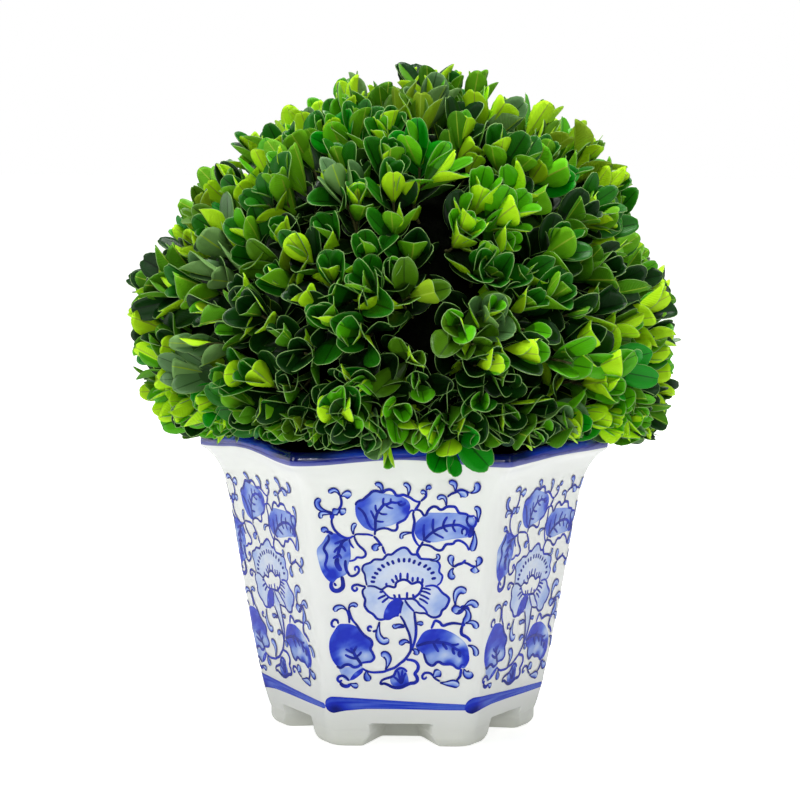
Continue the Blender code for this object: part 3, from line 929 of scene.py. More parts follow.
for width, *points in (
    (1.0, (-16.6, 80.7), (-18.2, 79), (-18, 76.6), (-17, 74.4), (-17.3, 71.6), (-15.8, 69), (-13.2, 67.2),
     (-11.4, 65.1), (-9.4, 64.6), (-7.6, 65), (-5.6, 65), (-4, 66), (-2.4, 66.6), (-0.8, 66.6)),
    (1.0, (6.4, 68.6), (9, 68), (11.6, 67.9), (14.4, 66.2), (16.6, 66), (18.6, 67), (19.6, 69.4),
     (21.4, 71), (22.9, 74.6), (22, 76.4), (19.6, 78.2), (17.4, 80.8), (15, 81.7), (11.2, 81.2)),
    (0.9, (2.2, 74.9), (5, 75.2), (7.4, 74), (8.8, 72.2), (11, 70.4), (12.8, 67.8)),
    (0.9, (1.8, 74.6), (2.8, 72.8), (4.4, 70.8), (6.4, 68.6)),
    (0.8, (1, 73.6), (0, 70.6), (-0.4, 67.6)),
):
    scrolls.line(width, *points)
print("flower:", scrolls.count, "points so far")

# %% [markdown]
# ### Leaves
#
# Six broad leaves surround the flower. Each is a wash with one deep side, a wavy outline that was drawn
# over it without much care for its edge, and a midrib with forked veins.

# %% Paint the leaves
for tone, pools, *outline in (
    (0.40, [(-19, 119, 4.5, 0.68), (-16, 112, 4, 0.60), (-17.5, 123, 3, 0.66), (-8, 118, 5, 0.28),
            (2.6, 118.5, 2.6, 0.98), (0.5, 122.5, 2.5, 0.62), (-6, 124.5, 3.5, 0.34),
            (-1.5, 115, 3.5, 0.42), (-6, 112, 3, 0.28)],
     (-21.6, 121.3), (-21.7, 117.5), (-20.7, 113.8), (-17.8, 110), (-14.2, 108.3), (-12, 108.4),
     (-9.8, 109.6), (-4.5, 111), (-1.6, 112.4), (1, 113), (2.9, 115), (3.6, 117.6), (4.3, 120),
     (3.3, 122.9), (0.2, 125), (-5, 126), (-8.5, 126.6), (-12.4, 127.6), (-15.3, 125.6), (-18.4, 123.3),
     (-20.4, 122.6)),
    (0.40, [(9.5, 108, 4.5, 0.68), (12.5, 112, 3.5, 0.58), (20, 106.5, 5, 0.28), (30, 110, 4, 0.46),
            (33.5, 109.5, 2, 0.97), (26, 113, 4, 0.32), (23, 116.5, 3, 0.42), (29.8, 108, 1.2, 0.26),
            (32.8, 113.6, 1.5, 0.30)],
     (12.4, 117.1), (9.4, 115), (6.8, 112.2), (6.3, 109.4), (6.6, 106.6), (9, 103.8), (14.5, 102.8),
     (19, 103.4), (24, 104.4), (29, 105.1), (32.2, 105.8), (34.4, 109), (34.9, 113), (33.6, 115.6),
     (30.8, 116.8), (24, 117.3), (17, 117.3)),
    (0.44, [(-31, 104.6, 3, 0.72), (-36.4, 104, 2.5, 0.52), (-38.4, 95, 3.2, 0.26), (-33, 87, 3.2, 0.97),
            (-36, 88.5, 2, 0.66), (-33, 99, 2.8, 0.32), (-32, 93, 2.4, 0.36), (-25.2, 97, 2.4, 0.54),
            (-27.6, 90, 2, 0.32), (-27, 101.5, 2, 0.62)],
     (-34.8, 106.3), (-37.2, 102.5), (-39.6, 99.6), (-40, 97), (-39.2, 93.2), (-38, 89), (-36.4, 85.8),
     (-34.2, 83.4), (-32.2, 82.6), (-30.4, 84.6), (-28.2, 85.6), (-25.6, 87.4), (-25, 91.5), (-23.9, 95),
     (-24, 99), (-24.6, 103.2), (-27.5, 104.9), (-31.6, 106.9)),
    (0.52, [(-27, 57, 6, 0.88), (-20, 55, 4.5, 0.84), (-32.6, 50, 3.6, 0.92), (-31, 44, 2.6, 0.88),
            (-25.6, 46.8, 3.8, 0.24), (-17, 46.5, 3.8, 0.28), (-21.5, 43.5, 2.6, 0.30),
            (-23.6, 51.5, 3, 0.64), (-16, 51.5, 2.4, 0.74)],
     (-29.6, 62), (-32, 58.6), (-33.8, 55), (-34.3, 51), (-33.7, 47), (-32.4, 43.6), (-30, 40.9),
     (-27.4, 41.6), (-24.6, 41.8), (-21.4, 41), (-18.8, 42.6), (-15.6, 43.4), (-13.2, 45), (-13.2, 47.4),
     (-14.5, 49.4), (-14.1, 52.6), (-15.4, 54.9), (-18.2, 57.4), (-20.6, 60.6), (-23.8, 62.2),
     (-26.6, 62.4)),
    (0.24, [(-26, 38.5, 3, 0.32)],
     (-29.2, 40.2), (-24, 41), (-19, 41.6), (-18.4, 39.6), (-21, 36.4), (-24.4, 33.8), (-27, 34.6),
     (-28.6, 37.4)),
    (0.88, [(-21.6, 37.6, 1.3, 0.60)],
     (-18, 40.4), (-20.2, 39.4), (-22.6, 37.4), (-24.4, 34.4), (-22.4, 34.6), (-19.8, 36.6),
     (-18.2, 38.4)),
    (0.50, [(12, 54, 4.2, 0.84), (15.5, 58, 4, 0.84), (21, 57, 4, 0.72), (18, 52.5, 3, 0.78),
            (28, 54.5, 4.4, 0.22), (21, 47, 4.4, 0.24), (14.5, 46, 2.8, 0.36), (31, 45, 2.8, 0.95),
            (29.6, 49.4, 2, 0.88), (27.6, 45, 2.2, 0.28), (24.5, 51.5, 2, 0.66), (10, 50.5, 2.2, 0.80),
            (23, 42.6, 2.4, 0.80)],
     (7, 51.8), (8.3, 54.6), (10.3, 58), (13, 59.8), (16.4, 60.3), (20, 60.2), (24, 58.7), (27.5, 56.5),
     (30.3, 54), (32, 51), (32.6, 47.6), (32.6, 44.4), (30.6, 40.9), (28.2, 41), (26.5, 41), (23.5, 42),
     (20, 42.5), (17.6, 43.4), (15.4, 42.1), (13.2, 42.9), (11.8, 45.2), (10.8, 47.4), (8.4, 49.6)),
    (0.42, [(-1, 32, 2.6, 0.80), (2, 33.4, 2, 0.74), (-3, 34.6, 1.6, 0.40), (1.6, 37, 1.8, 0.56)],
     (-5, 35.2), (-4.6, 32.6), (-2, 30.9), (1, 31.2), (3.6, 32.6), (3.7, 35), (3, 37.8), (1.6, 39.8),
     (-0.6, 39.9), (-2.4, 38), (-3.4, 36.4)),
):
    washes.wash(tone, pools, *outline)
print("washes:", washes.count, "points so far")

# %% Outline the top leaf and the one at its right
for width, *points in (
    (1.1, (-21.6, 120.4), (-21.2, 121.9), (-19.6, 123), (-18.2, 123.4), (-16.6, 124.8), (-15.2, 126),
     (-13.8, 127.4), (-12, 127.8), (-8.8, 127.2), (-7.3, 128.2), (-5.4, 128.5), (-3.7, 127.6),
     (-2.5, 125.8), (-1, 125.5), (1, 125.9), (2.6, 125.3), (4, 124.7), (5.6, 123.5), (7.6, 122.6),
     (9.2, 122.8)),
    (1.0, (-13, 108.4), (-12, 108.2), (-10.6, 109), (-8.4, 109.5), (-6.4, 109.3), (-4.4, 108.5),
     (-2.6, 108.6), (-1.8, 110), (-1.9, 111.6), (-0.6, 112.6), (1.6, 113.8), (2.9, 115.6), (3.6, 117),
     (4.8, 118.2), (6.2, 118.2)),
    (1.15, (-12.6, 106), (-12.3, 108.4), (-12.2, 111), (-12.1, 114), (-11.2, 117), (-9.6, 119.4),
     (-8.2, 121), (-6.6, 121.3), (-4.6, 122.2), (-2.2, 122), (0.6, 122.9)),
    (0.9, (-12.4, 113.6), (-13.4, 116), (-14.6, 118.4)),
    (0.9, (-11.4, 117), (-12.1, 119.2), (-12.2, 121.2)),
    (0.9, (-8.5, 120.8), (-8.6, 122.8), (-8.2, 124.6)),
    (0.8, (-5.1, 122), (-5, 123.4), (-4.8, 124.4)),
    (0.8, (-10.8, 117.4), (-9, 116.4), (-6.4, 116.4)),
    (0.8, (-12, 113.1), (-10, 112.7), (-8.1, 112.7)),
    (0.8, (-7.6, 120.8), (-5.6, 119.6), (-3.6, 119.2)),
    (1.0, (-20.6, 119.6), (-18.6, 118), (-17, 115.6), (-15.8, 112.4), (-14.4, 110), (-12.6, 108.6)),
    (1.0, (-1.8, 122.4), (-0.6, 120.9), (1.2, 121.2), (2.2, 122.4)),
    (1.1, (6.8, 118.4), (8, 118.6), (9.4, 117.8), (10.6, 116), (11.6, 116.2), (12.6, 118.2),
     (13.6, 119.4), (15.2, 120.3), (16.8, 120), (18.2, 118.9), (19.6, 119), (21.4, 120.2), (23.6, 120.4),
     (25.4, 120.1), (26.4, 118.6), (27.3, 117.3), (29, 117), (30.8, 116.7), (32, 115.7), (34.8, 115.9)),
    (1.05, (6.2, 118.2), (5.6, 116.8), (5.8, 115.2), (6.2, 112.9), (5.9, 110.4), (5.5, 107.5),
     (6.1, 104.7), (7.3, 102.4), (8.6, 100.9)),
    (1.05, (10.4, 103.4), (9.4, 101.4), (8.4, 100), (7.6, 98), (8, 96.9), (9.2, 95.2)),
    (1.05, (8.8, 101), (10.4, 101.6), (13, 101.3), (14.6, 100.6), (16, 99.6), (17.8, 98.9), (19.4, 99.3),
     (20.4, 100.8), (21.4, 101.9), (24.4, 102.2), (25.6, 103.5), (27.4, 103.8), (29.4, 102.9),
     (31, 101.4), (32.2, 98.8)),
    (1.15, (10.2, 103.4), (12, 105.2), (13.6, 106.8), (17, 109.2), (19.4, 110.1), (21.6, 111),
     (26.6, 111.4), (29.4, 110.4), (31.6, 108.8), (32.6, 106.4)),
    (0.95, (10.9, 103.8), (10.6, 107), (10.6, 110), (10.9, 111.8)),
    (1.0, (15.2, 107.8), (14.9, 110.5), (15.1, 114.6)),
    (1.0, (19.6, 110.3), (20.2, 112.8), (21.8, 115.6)),
    (0.85, (24.5, 111.2), (24.9, 112.9), (25.5, 114.2)),
    (0.9, (15, 107.6), (17.2, 106.4), (20.3, 104.8)),
    (0.9, (20, 110.2), (20.8, 109), (22.1, 107.9)),
    (0.9, (24, 111.2), (24.8, 109.3), (25.8, 107.8)),
    (0.9, (10.6, 104.4), (12, 103.4), (14.2, 102.9)),
    (1.0, (31.6, 116), (30.9, 113.6), (31.8, 111.4), (33.6, 110.4), (35, 111.6), (35.4, 114),
     (34.6, 115.8)),
    (0.9, (28.9, 106.6), (28.7, 108.6), (29.8, 109.8), (31, 109), (30.9, 107), (29.9, 106.2)),
    (1.9, (33.4, 110.6), (33.2, 108), (31.9, 105.2)),
):
    scrolls.line(width, *points)
print("upper leaves:", scrolls.count, "points so far")

# %% Outline the left leaf and the lower ones
for width, *points in (
    (1.1, (-34.5, 106.2), (-34.3, 103.6), (-36, 101), (-36.5, 99), (-35.2, 96.4), (-35.4, 93.7),
     (-36, 91.4), (-35.2, 89.4), (-33.6, 88)),
    (1.2, (-25, 104.2), (-27.4, 103.1), (-28.6, 101), (-29.5, 98.4), (-30.1, 95.4), (-30.4, 92.6)),
    (1.9, (-30.2, 95), (-30.5, 92.4), (-29.6, 90.2), (-28.2, 88.4)),
    (1.0, (-28.8, 100.6), (-30.6, 99.2), (-31.9, 97.2)),
    (0.9, (-30, 96.2), (-31.2, 95.4), (-32.4, 94.4)),
    (1.0, (-28.5, 101), (-27.2, 99.8), (-26.2, 97.8)),
    (0.9, (-29.7, 97), (-28.8, 95.6), (-28.2, 94.4)),
    (1.0, (-27, 103.4), (-29.4, 102.6), (-31.8, 101.6)),
    (1.2, (-26.4, 94), (-26.4, 91), (-25.7, 88.4), (-24.4, 86.6)),
    (1.7, (-28.2, 86), (-27.6, 83), (-27.8, 80.4), (-29.8, 78.8), (-32, 79), (-33.2, 80.8), (-33, 83.4)),
    (0.9, (-31.8, 82.8), (-31.2, 81.6), (-30.4, 81.2)),
    (1.05, (-23.3, 64.4), (-21, 61.8), (-19.4, 59.2), (-17.4, 56.8), (-14.4, 54.6), (-13.7, 52.4),
     (-14.5, 50), (-13.4, 47.8), (-12.7, 45.6), (-14.2, 43.8), (-16.4, 43.4), (-18.6, 42.9),
     (-19.8, 41.6)),
    (1.2, (-30.8, 41.4), (-28.8, 40.4), (-26.8, 41.8), (-24.6, 42), (-22.4, 40.8), (-20.2, 41.3),
     (-19, 42.8)),
    (1.25, (-18.6, 41.4), (-19.6, 43.4), (-20.8, 45.2), (-22, 47), (-22.8, 48.8), (-24.2, 50.6)),
    (1.1, (-20.6, 45.1), (-23, 45.4), (-25.2, 46.2), (-26.8, 47.2)),
    (0.95, (-21.2, 46), (-19.8, 47.2), (-18.7, 48.8)),
    (0.95, (-22.5, 48.4), (-21.8, 50), (-20.8, 51.5)),
    (0.95, (-22.4, 47.6), (-24.6, 48.8), (-26.6, 50)),
    (1.1, (10.8, 48.2), (11.7, 45.2), (12.6, 43.3), (14.4, 42), (15.8, 42.2), (17.2, 43.6), (18.6, 43.7),
     (20.4, 42.7), (24.5, 42.6), (26.4, 41.1), (27.9, 40.6), (29.2, 42.4), (31, 42.4)),
    (1.2, (7.4, 51.6), (12, 53.2), (16, 53.7), (20, 53.4), (23.4, 52.6), (25.8, 50.6), (28.2, 49.4),
     (30.6, 46.8)),
    (1.1, (15.4, 53.4), (16.8, 50.8), (18.2, 48.6)),
    (1.2, (19.8, 53.2), (21.2, 51.4), (22.2, 49.8)),
    (1.2, (24.8, 51.2), (25, 49.2), (25.7, 47.4)),
    (1.5, (28, 49.4), (28, 47.4), (28.8, 46.2)),
    (1.0, (16.4, 53.8), (18.8, 55.8)),
    (0.95, (24, 52.4), (26, 52.4), (28, 53)),
    (1.05, (-9.8, 31.9), (-9.5, 33.6), (-8.2, 34.8), (-4.8, 36), (-3.2, 37), (-2.4, 38.9), (-0.8, 40.4),
     (0.8, 40.5), (2.2, 39.7), (3.1, 38.5)),
    (1.35, (-9.8, 32.1), (-8.2, 32.7), (-6.4, 32.2), (-4.2, 31.1), (-2, 30.6), (0.4, 30.9), (2.6, 32),
     (4.6, 32.9), (6.6, 33.2), (7.9, 34.4), (7.7, 36.2), (6.8, 37.8), (7.9, 39.4), (8.4, 41.4),
     (7.5, 43.4), (5.6, 44.5), (2.4, 44.9)),
):
    scrolls.line(width, *points)
LEAFLET_ROOT = (0.4, 32.6)
for tip in ((-3.6, 36.4), (-1.4, 39.2), (0.8, 39.8), (2.4, 38.4)):
    belly = (0.55 * tip[0] + 0.1, 0.5 * (tip[1] + LEAFLET_ROOT[1]) + 0.5)
    scrolls.line(0.95, LEAFLET_ROOT, belly, tip)
print("lower leaves:", scrolls.count, "points so far")

# %% [markdown]
# ### Stems and tendrils
#
# Thin stems tie the motifs together, and every free end curls into a comma. A comma needs only the width
# of its head, the shade of its fill and three to five points of its curve from root to head.

# %% Paint the stems
for width, *points in (
    (1.0, (-28.8, 126), (-28.6, 124.5), (-28.2, 122.4), (-28.5, 120.2), (-30, 118.2), (-32, 116.2)),
    (1.0, (-32.2, 115.8), (-32.9, 112.6), (-32, 109.4), (-30.4, 107.3), (-28.2, 105.5), (-26, 104.6),
     (-24, 104.8), (-22.5, 105.8)),
    (0.85, (-22.4, 105.8), (-21, 106.5), (-17.5, 106.5), (-15.5, 106.4), (-13, 105.7)),
    (0.95, (-22.4, 106), (-21.8, 104), (-20.8, 102), (-19.4, 100.4), (-17.6, 98.8), (-16.8, 97.2),
     (-17.2, 95.8), (-18.8, 95), (-20.8, 95.2), (-22.2, 93.9), (-24.8, 93.2)),
    (0.8, (-24.7, 104.5), (-24.2, 102.4), (-23.2, 100.6), (-22.2, 99.6)),
    (1.0, (-13.1, 105.7), (-11.8, 104.4), (-10.4, 102.6), (-8.9, 100.8)),
    (0.95, (-8.9, 100.9), (-8.3, 98.8), (-7.4, 96.8)),
    (1.9, (-27.4, 118.7), (-29.8, 117.6), (-32.4, 116.2), (-32.8, 113.6)),
    (1.2, (-32.2, 106.4), (-34, 107.4), (-35.8, 107.6)),
    (1.0, (8.9, 122.9), (8, 120.8), (6.8, 119), (6.2, 118)),
    (1.0, (9, 122.7), (10.6, 124.2), (11.6, 125.6), (11.6, 128.4)),
    (1.0, (21.6, 124.9), (23.2, 126.4), (25.4, 127.4), (27.6, 128.6), (30, 128.1), (32.3, 127)),
    (1.1, (25, 90.7), (26.6, 91.9), (28.2, 92.5), (29.4, 93.1), (30.6, 94.5)),
    (1.0, (29.6, 93.1), (31.6, 92.5), (33.6, 91.4), (35.4, 91.2)),
    (1.15, (29.4, 62.6), (27.6, 62.9), (25, 63.2), (22.4, 62.7), (20, 61.9), (18.4, 63.6), (16.4, 64.3),
     (15.4, 62.6), (14.4, 60.2)),
    (1.3, (29.6, 62.6), (28.8, 60), (29, 57.8), (30.4, 56.9), (32, 55.8), (33.4, 54)),
    (1.05, (-0.5, 66.8), (1.2, 64.2), (2.6, 61), (4, 57.5), (4.7, 54), (4.8, 50), (3.8, 47.6),
     (1.8, 44.7), (-0.4, 42.8), (-3, 40.7), (-5.6, 39.7), (-8, 38.7), (-10.5, 38.4), (-13.6, 38.3),
     (-16.4, 39), (-18.6, 40.4)),
    (1.1, (6.3, 69), (6.7, 65), (7.2, 61), (7.1, 57), (6.4, 53.4), (5.3, 50)),
    (2.0, (26.2, 72.6), (25.6, 70.4), (26.6, 68.6), (28.4, 69.4), (29.6, 71), (31.4, 70.4), (31.8, 67.6)),
    (1.5, (31, 65.6), (30, 63.6), (29.6, 61.4)),
    (0.95, (-24.6, 62.6), (-24.7, 65.8), (-25.4, 68.2), (-26, 69.6)),
    (0.95, (-24.9, 70.2), (-24.4, 67.8), (-23.4, 65), (-21.8, 62.6)),
    (1.0, (-13.6, 58.8), (-12.4, 58.9), (-11.2, 59.6)),
    (1.0, (2, 61.2), (-0.4, 61), (-2.4, 60.8)),
    (1.0, (-16.6, 80.9), (-18.6, 81.2), (-20.8, 81.8), (-22.8, 81.2), (-23.2, 79.8), (-22, 78.7),
     (-20.8, 79.6), (-21.4, 80.7)),
    (1.0, (-14, 59), (-15.5, 59.3), (-15.6, 60.7), (-14.5, 61.3), (-13.9, 60.2)),
    (1.0, (-29.8, 62.2), (-30.3, 64), (-31.8, 64.4), (-33, 63), (-32.7, 61.2), (-31.2, 60.8)),
    (0.95, (-25.7, 88.6), (-24.6, 86.5), (-22.8, 86), (-20.8, 87.2), (-19.9, 89), (-20.8, 90.7),
     (-21.9, 90), (-21.7, 88.4)),
    (1.0, (19, 33.9), (16.6, 35.4), (15, 37.4), (13.4, 38.3), (11.4, 38.1), (10.3, 36.6), (10.8, 35.2),
     (12, 35.6), (12.3, 36.6)),
    (1.1, (-24.6, 33.8), (-26, 35.4), (-27.6, 36.4), (-29.4, 36.1), (-30.3, 34.8), (-29.4, 33.4),
     (-28, 34.4)),
    (1.5, (-29.2, 33.2), (-27.8, 31.6), (-25.6, 31.2), (-24, 32.4)),
):
    scrolls.line(width, *points)
print("stems:", scrolls.count, "points so far")

# %% Paint the tendrils
for head, shade, *points in (
    (2.0, 0.60, (-28.9, 125.2), (-29.9, 127.2), (-31.5, 128.1), (-33.1, 127.6), (-34.2, 126.5)),
    (3.6, 0.36, (-28.5, 124.8), (-27, 125.8), (-25, 125.9), (-23.4, 125.5)),
    (3.7, 0.42, (-29.2, 118.8), (-27.6, 117.6), (-26.2, 116.8)),
    (3.4, 0.70, (-29, 118.6), (-30.8, 117.6), (-32.4, 116.6)),
    (2.2, 0.90, (-32.6, 117), (-36.4, 117.8), (-39.1, 119.6), (-39.7, 122.2), (-37.9, 123.6)),
    (2.0, 0.35, (-32.4, 116.3), (-35, 116.6), (-37.6, 116.6), (-38, 115.2), (-37.2, 114.3)),
    (2.6, 0.80, (-34.2, 107.8), (-36, 108.8), (-37.8, 107.6)),
    (1.9, 0.40, (-22.6, 106.2), (-22.9, 108.8), (-22.3, 110.8), (-20.9, 111.3)),
    (3.0, 0.75, (-9.6, 101.4), (-11.8, 100.8), (-12.9, 98.3)),
    (2.2, 0.62, (-9.2, 126.6), (-9.2, 129), (-10.1, 130.7), (-11.6, 131), (-12.1, 130.4)),
    (1.9, 0.40, (3.1, 125.2), (3.5, 127.4), (3.5, 129.6), (2.3, 131), (0.9, 130.7)),
    (2.1, 0.42, (11.4, 125.9), (10.7, 127.3), (8.9, 127.4)),
    (2.4, 0.85, (11.6, 128.3), (12.7, 129.7), (14.3, 129.5)),
    (2.4, 0.62, (25.3, 127.6), (25.4, 129.8), (25, 131.6), (23.6, 132.2), (22.4, 131.6)),
    (3.5, 0.40, (26, 127.8), (28.2, 127.2), (29.8, 126), (30.2, 124.9)),
    (2.7, 0.62, (32.2, 127), (34.4, 127.8), (35.6, 129.2), (35.5, 131), (34.3, 131.7)),
    (1.9, 0.38, (21.2, 120.5), (21, 122.8), (20.2, 124.8), (18.4, 125.1), (17, 123.7)),
    (2.1, 0.50, (36.2, 112.6), (36.4, 115.2), (36.5, 117.8), (35.9, 119.4), (34.2, 119.6)),
    (2.5, 0.66, (34.3, 109), (34.7, 105.6), (34.5, 102.6), (33.3, 98.6)),
    (1.6, 0.40, (5.3, 107.5), (2.6, 107.3), (0.3, 106.4), (0.1, 104.2)),
    (1.6, 0.45, (13.2, 94.4), (15.2, 94.1), (17.2, 94.6), (17.7, 96), (16.4, 96.9)),
    (2.7, 0.50, (25, 90.8), (23.8, 92.8), (23.6, 95), (24.8, 96.4)),
    (2.7, 0.66, (25, 90.6), (23.7, 88.8), (23.8, 86.4), (25.8, 86.2)),
    (2.9, 0.56, (35.4, 91), (36.6, 92.8), (36.8, 94.6), (35.7, 95.2)),
    (4.1, 0.40, (35.4, 91.4), (35, 89.6), (34.8, 87.8)),
    (2.9, 0.48, (26, 71.6), (25.7, 75), (26.5, 78.3), (28.6, 79.7), (30.9, 78.2)),
    (2.7, 0.48, (29.4, 71), (32.6, 73.2), (34.6, 73.1), (36.3, 71)),
    (3.6, 0.55, (29.4, 70.4), (26.4, 70.2), (25.6, 68)),
    (2.7, 0.66, (28.8, 70.8), (31.4, 69.6), (32, 66.6), (30.2, 63)),
    (2.5, 0.46, (30.6, 63.2), (33.6, 63.7), (35.4, 62.6), (36, 60.4)),
    (2.3, 0.46, (31.8, 52.2), (34.2, 51.6), (35.8, 49.4), (35.8, 46.6)),
    (1.9, 0.90, (6.9, 62.2), (8.6, 63), (10.8, 62.6)),
    (2.2, 0.90, (4.6, 53), (2, 54.1), (-0.9, 52.4)),
    (2.5, 0.82, (5.2, 50), (7, 49.4), (7.9, 47)),
    (1.9, 0.85, (1.8, 61.9), (-0.8, 61.9), (-2.9, 61.2), (-3.3, 62.6)),
    (2.9, 0.50, (-7.4, 39.4), (-6.2, 42.6), (-6, 45.4), (-7.6, 47.3), (-9.4, 46.4)),
    (2.8, 0.32, (-10.2, 63.8), (-10.8, 59.8), (-10.6, 56.4), (-8.4, 53.9), (-5.5, 54.8)),
    (2.2, 0.42, (-25.6, 69), (-28, 70.8), (-30.7, 70.2), (-31.6, 68.3)),
    (1.9, 0.66, (-25, 69.6), (-24, 71.6), (-22.1, 72), (-20.9, 70.7)),
    (2.9, 0.95, (-16, 39.6), (-16.4, 36.8), (-15, 33.8)),
    (2.4, 0.50, (-24.6, 32.6), (-22.2, 31.6), (-20.2, 31.5)),
    (3.8, 0.52, (15.4, 35.8), (17.2, 37.8), (19.2, 39.2)),
    (3.1, 0.36, (18.6, 33.4), (22, 33), (25.4, 33), (28, 31.8)),
):
    scrolls.comma(head, shade, *points)
scrolls.line(1.1, (26.6, 34.4), (28.2, 36.4), (28.7, 38.6), (28.9, 40.6))
scrolls.comma(3.6, 0.48, (30.2, 40.6), (31, 38.2), (32.8, 37.5), (34, 38.8))
print("tendrils:", scrolls.count, "points,", len(scrolls.faces), "faces on one side")

# %% [markdown]
# ### The band above the feet
#
# One loaded stroke runs along each side. It starts round the corner with a thick dark blob, thins and
# pales on its way, and ends under the start of the next side's stroke.

# %% Paint the band
BAND_PATH = (
    (-39.5, 20.6), (-35.5, 21.6), (-30, 22.1), (-20, 22.3), (-8.5, 22.0), (6, 21.5), (18, 21.1), (33, 20.8),
)
BAND_WIDTHS = ((0.0, 7.6), (0.06, 8.4), (0.14, 6.8), (0.28, 5.2), (0.50, 4.2), (0.80, 3.4), (1.0, 2.8))
BAND_LANES = np.linspace(-1, 1, 9)
BAND_TONE = 0.66
BAND_RIMS = 0.20
BAND_STREAKS = 0.30
BAND_PALES = 0.05
BAND_POOL_AT = 0.07
BAND_POOL_SPAN = 0.09
BAND_LIFT_START = 0.13
BAND_LIFT_END = 0.06
band = Brushwork(lift=BAND_LIFT_START, lift_step=0.0)


def band_width(share):
    return np.interp(share, *zip(*BAND_WIDTHS))


def band_tones(share, half):
    """Dark rims, a dark pool low at the start, paler bristle streaks along the rest."""
    streak = np.array([[noise.noise((s * 3.0, a * 3.2, 4.0)) for a in BAND_LANES] for s in share])
    across, share = BAND_LANES[None, :], share[:, None]
    tone = BAND_TONE + BAND_RIMS * across**4 + BAND_STREAKS * streak - BAND_PALES * share
    pool = np.exp(-(((share - BAND_POOL_AT) / BAND_POOL_SPAN) ** 2))
    tone += (1.0 - tone) * pool * smooth_step(0.62 - 0.7 * across)
    return np.clip(tone, 0.1, 1.0)


band.ribbon(BAND_PATH, band_width, lambda half: half[:, None] * BAND_LANES, band_tones)
band_lifts = np.linspace(BAND_LIFT_START, BAND_LIFT_END, band.count // len(BAND_LANES))
band.points[0][:, 2] = np.repeat(band_lifts, len(BAND_LANES))
print("band:", band.count, "points on one side")

# %% [markdown]
# ### Cobalt under the glaze
#
# The tone of each vertex picks a colour from bare glaze through watery blue to navy. Gloss and faint
# waves are those of the porcelain, because the painting lies under the same clear glaze.

# %% Lay the painting on all six sides
COBALT_STOPS = [
    (0.0, PORCELAIN),
    (0.14, screen(195, 207, 230)),
    (0.26, screen(160, 181, 225)),
    (0.40, screen(122, 148, 218)),
    (0.55, screen(75, 104, 206)),
    (0.70, screen(42, 69, 196)),
    (0.84, screen(21, 43, 184)),
    (1.0, screen(4, 20, 117)),
]
MOTTLE = 0.10

cobalt = Finish("cobalt_painting", screen(60, 80, 190), 0.24, **{"Specular IOR Level": 0.18})
tone = cobalt.node("Attribute", "Fac", {"attribute_name": "tone"})
mottle = cobalt.noise(320.0, 3.0, 0.6)
mottled = (tone + MOTTLE * (mottle - 0.5)).clamped()
cobalt_colour = cobalt.node("ValToRGB", "Color", stops=COBALT_STOPS, Fac=mottled)
cobalt.put(cobalt.shader, {"Base Color": cobalt_colour})
fired_waves(cobalt)

PATTERN_MIDDLE = 80.0
PATTERN_PLACING = (
    (0, 0, 0), (-5.0, 1.5, -3.6), (1.5, -1.0, -1.5), (-1.0, 1.5, 0.5), (1.0, 0.5, -2.0), (0, -5.0, -2.6),
)
BAND_PLACING = ((0, 2.8, 0), (0, 0, 0), (0, 3.5, 0), (0, 1.0, 0.4), (0, 2.0, -0.3), (0, 0.5, -0.2))


def lay_on_sides(name, work, placing):
    """The work on all six sides. placing gives each side's turn in degrees, shift along and shift up."""
    flat = np.vstack(work.points)
    sides = []
    for side, (turn, along, up) in enumerate(placing):
        cos, sin = math.cos(math.radians(turn)), math.sin(math.radians(turn))
        from_middle = flat[:, 1] - PATTERN_MIDDLE
        turned_along = flat[:, 0] * cos - from_middle * sin + along
        turned_height = flat[:, 0] * sin + from_middle * cos + PATTERN_MIDDLE + up
        sides.append(on_glaze(side, turned_along, turned_height, flat[:, 2]))
    faces = [tuple(side * len(flat) + i for i in face) for side in range(SIDES) for face in work.faces]
    piece = mesh_object(name, np.vstack(sides), faces, [cobalt])
    keep_value(piece, "tone", np.tile(np.concatenate(work.tones), SIDES))
    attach(piece, "root")
    print(name, triangles(piece), "triangles")


lay_on_sides("painted_washes", washes, PATTERN_PLACING)
lay_on_sides("painted_scrolls", scrolls, PATTERN_PLACING)
lay_on_sides("painted_band", band, BAND_PLACING)

# %% [markdown]
# ## Planting block and stem
#
# The filled planter hardly shows under the crown. The solid's planting block keeps its shape and gets a
# crumbly dark foam finish. The short stem gets ridged bark: a turned form with long furrows.

# %% Planting block
foam = Finish("planting_foam", screen(52, 50, 30), 0.95)
foam.grained(foam.noise(420.0, 5.0, 0.65), 0.3, screen(26, 28, 14), 0.7, screen(74, 74, 44), 0.0012)
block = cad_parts["planting_block"]
block.data.materials.clear()
block.data.materials.append(foam.material)

# %% Short stem with ridged bark
STEM_TOP = 0.1720
STEM_FOOT = 0.1303
STEM_RADIUS = 0.0078
STEM_TIP_RADIUS = 0.0060
ROOT_FLARE = 0.0048
BARK_FURROWS = 0.0006
FURROWS_CUT_IN = 0.4
FURROWS_ROUND = 3.2
FURROWS_UP = 60
STEM_ROWS = 31
STEM_COLUMNS = 40

bark = Finish("boxwood_bark", screen(96, 78, 52), 0.85)
bark_place = bark.node("Mapping", "Vector", Vector=bark.node("TexCoord", "Object"), Scale=(1, 1, 0.22))
fissures = bark.noise(620.0, 5.0, 0.65, bark_place)
bark.grained(fissures, 0.32, screen(48, 38, 24), 0.68, screen(140, 120, 88), 0.0006)

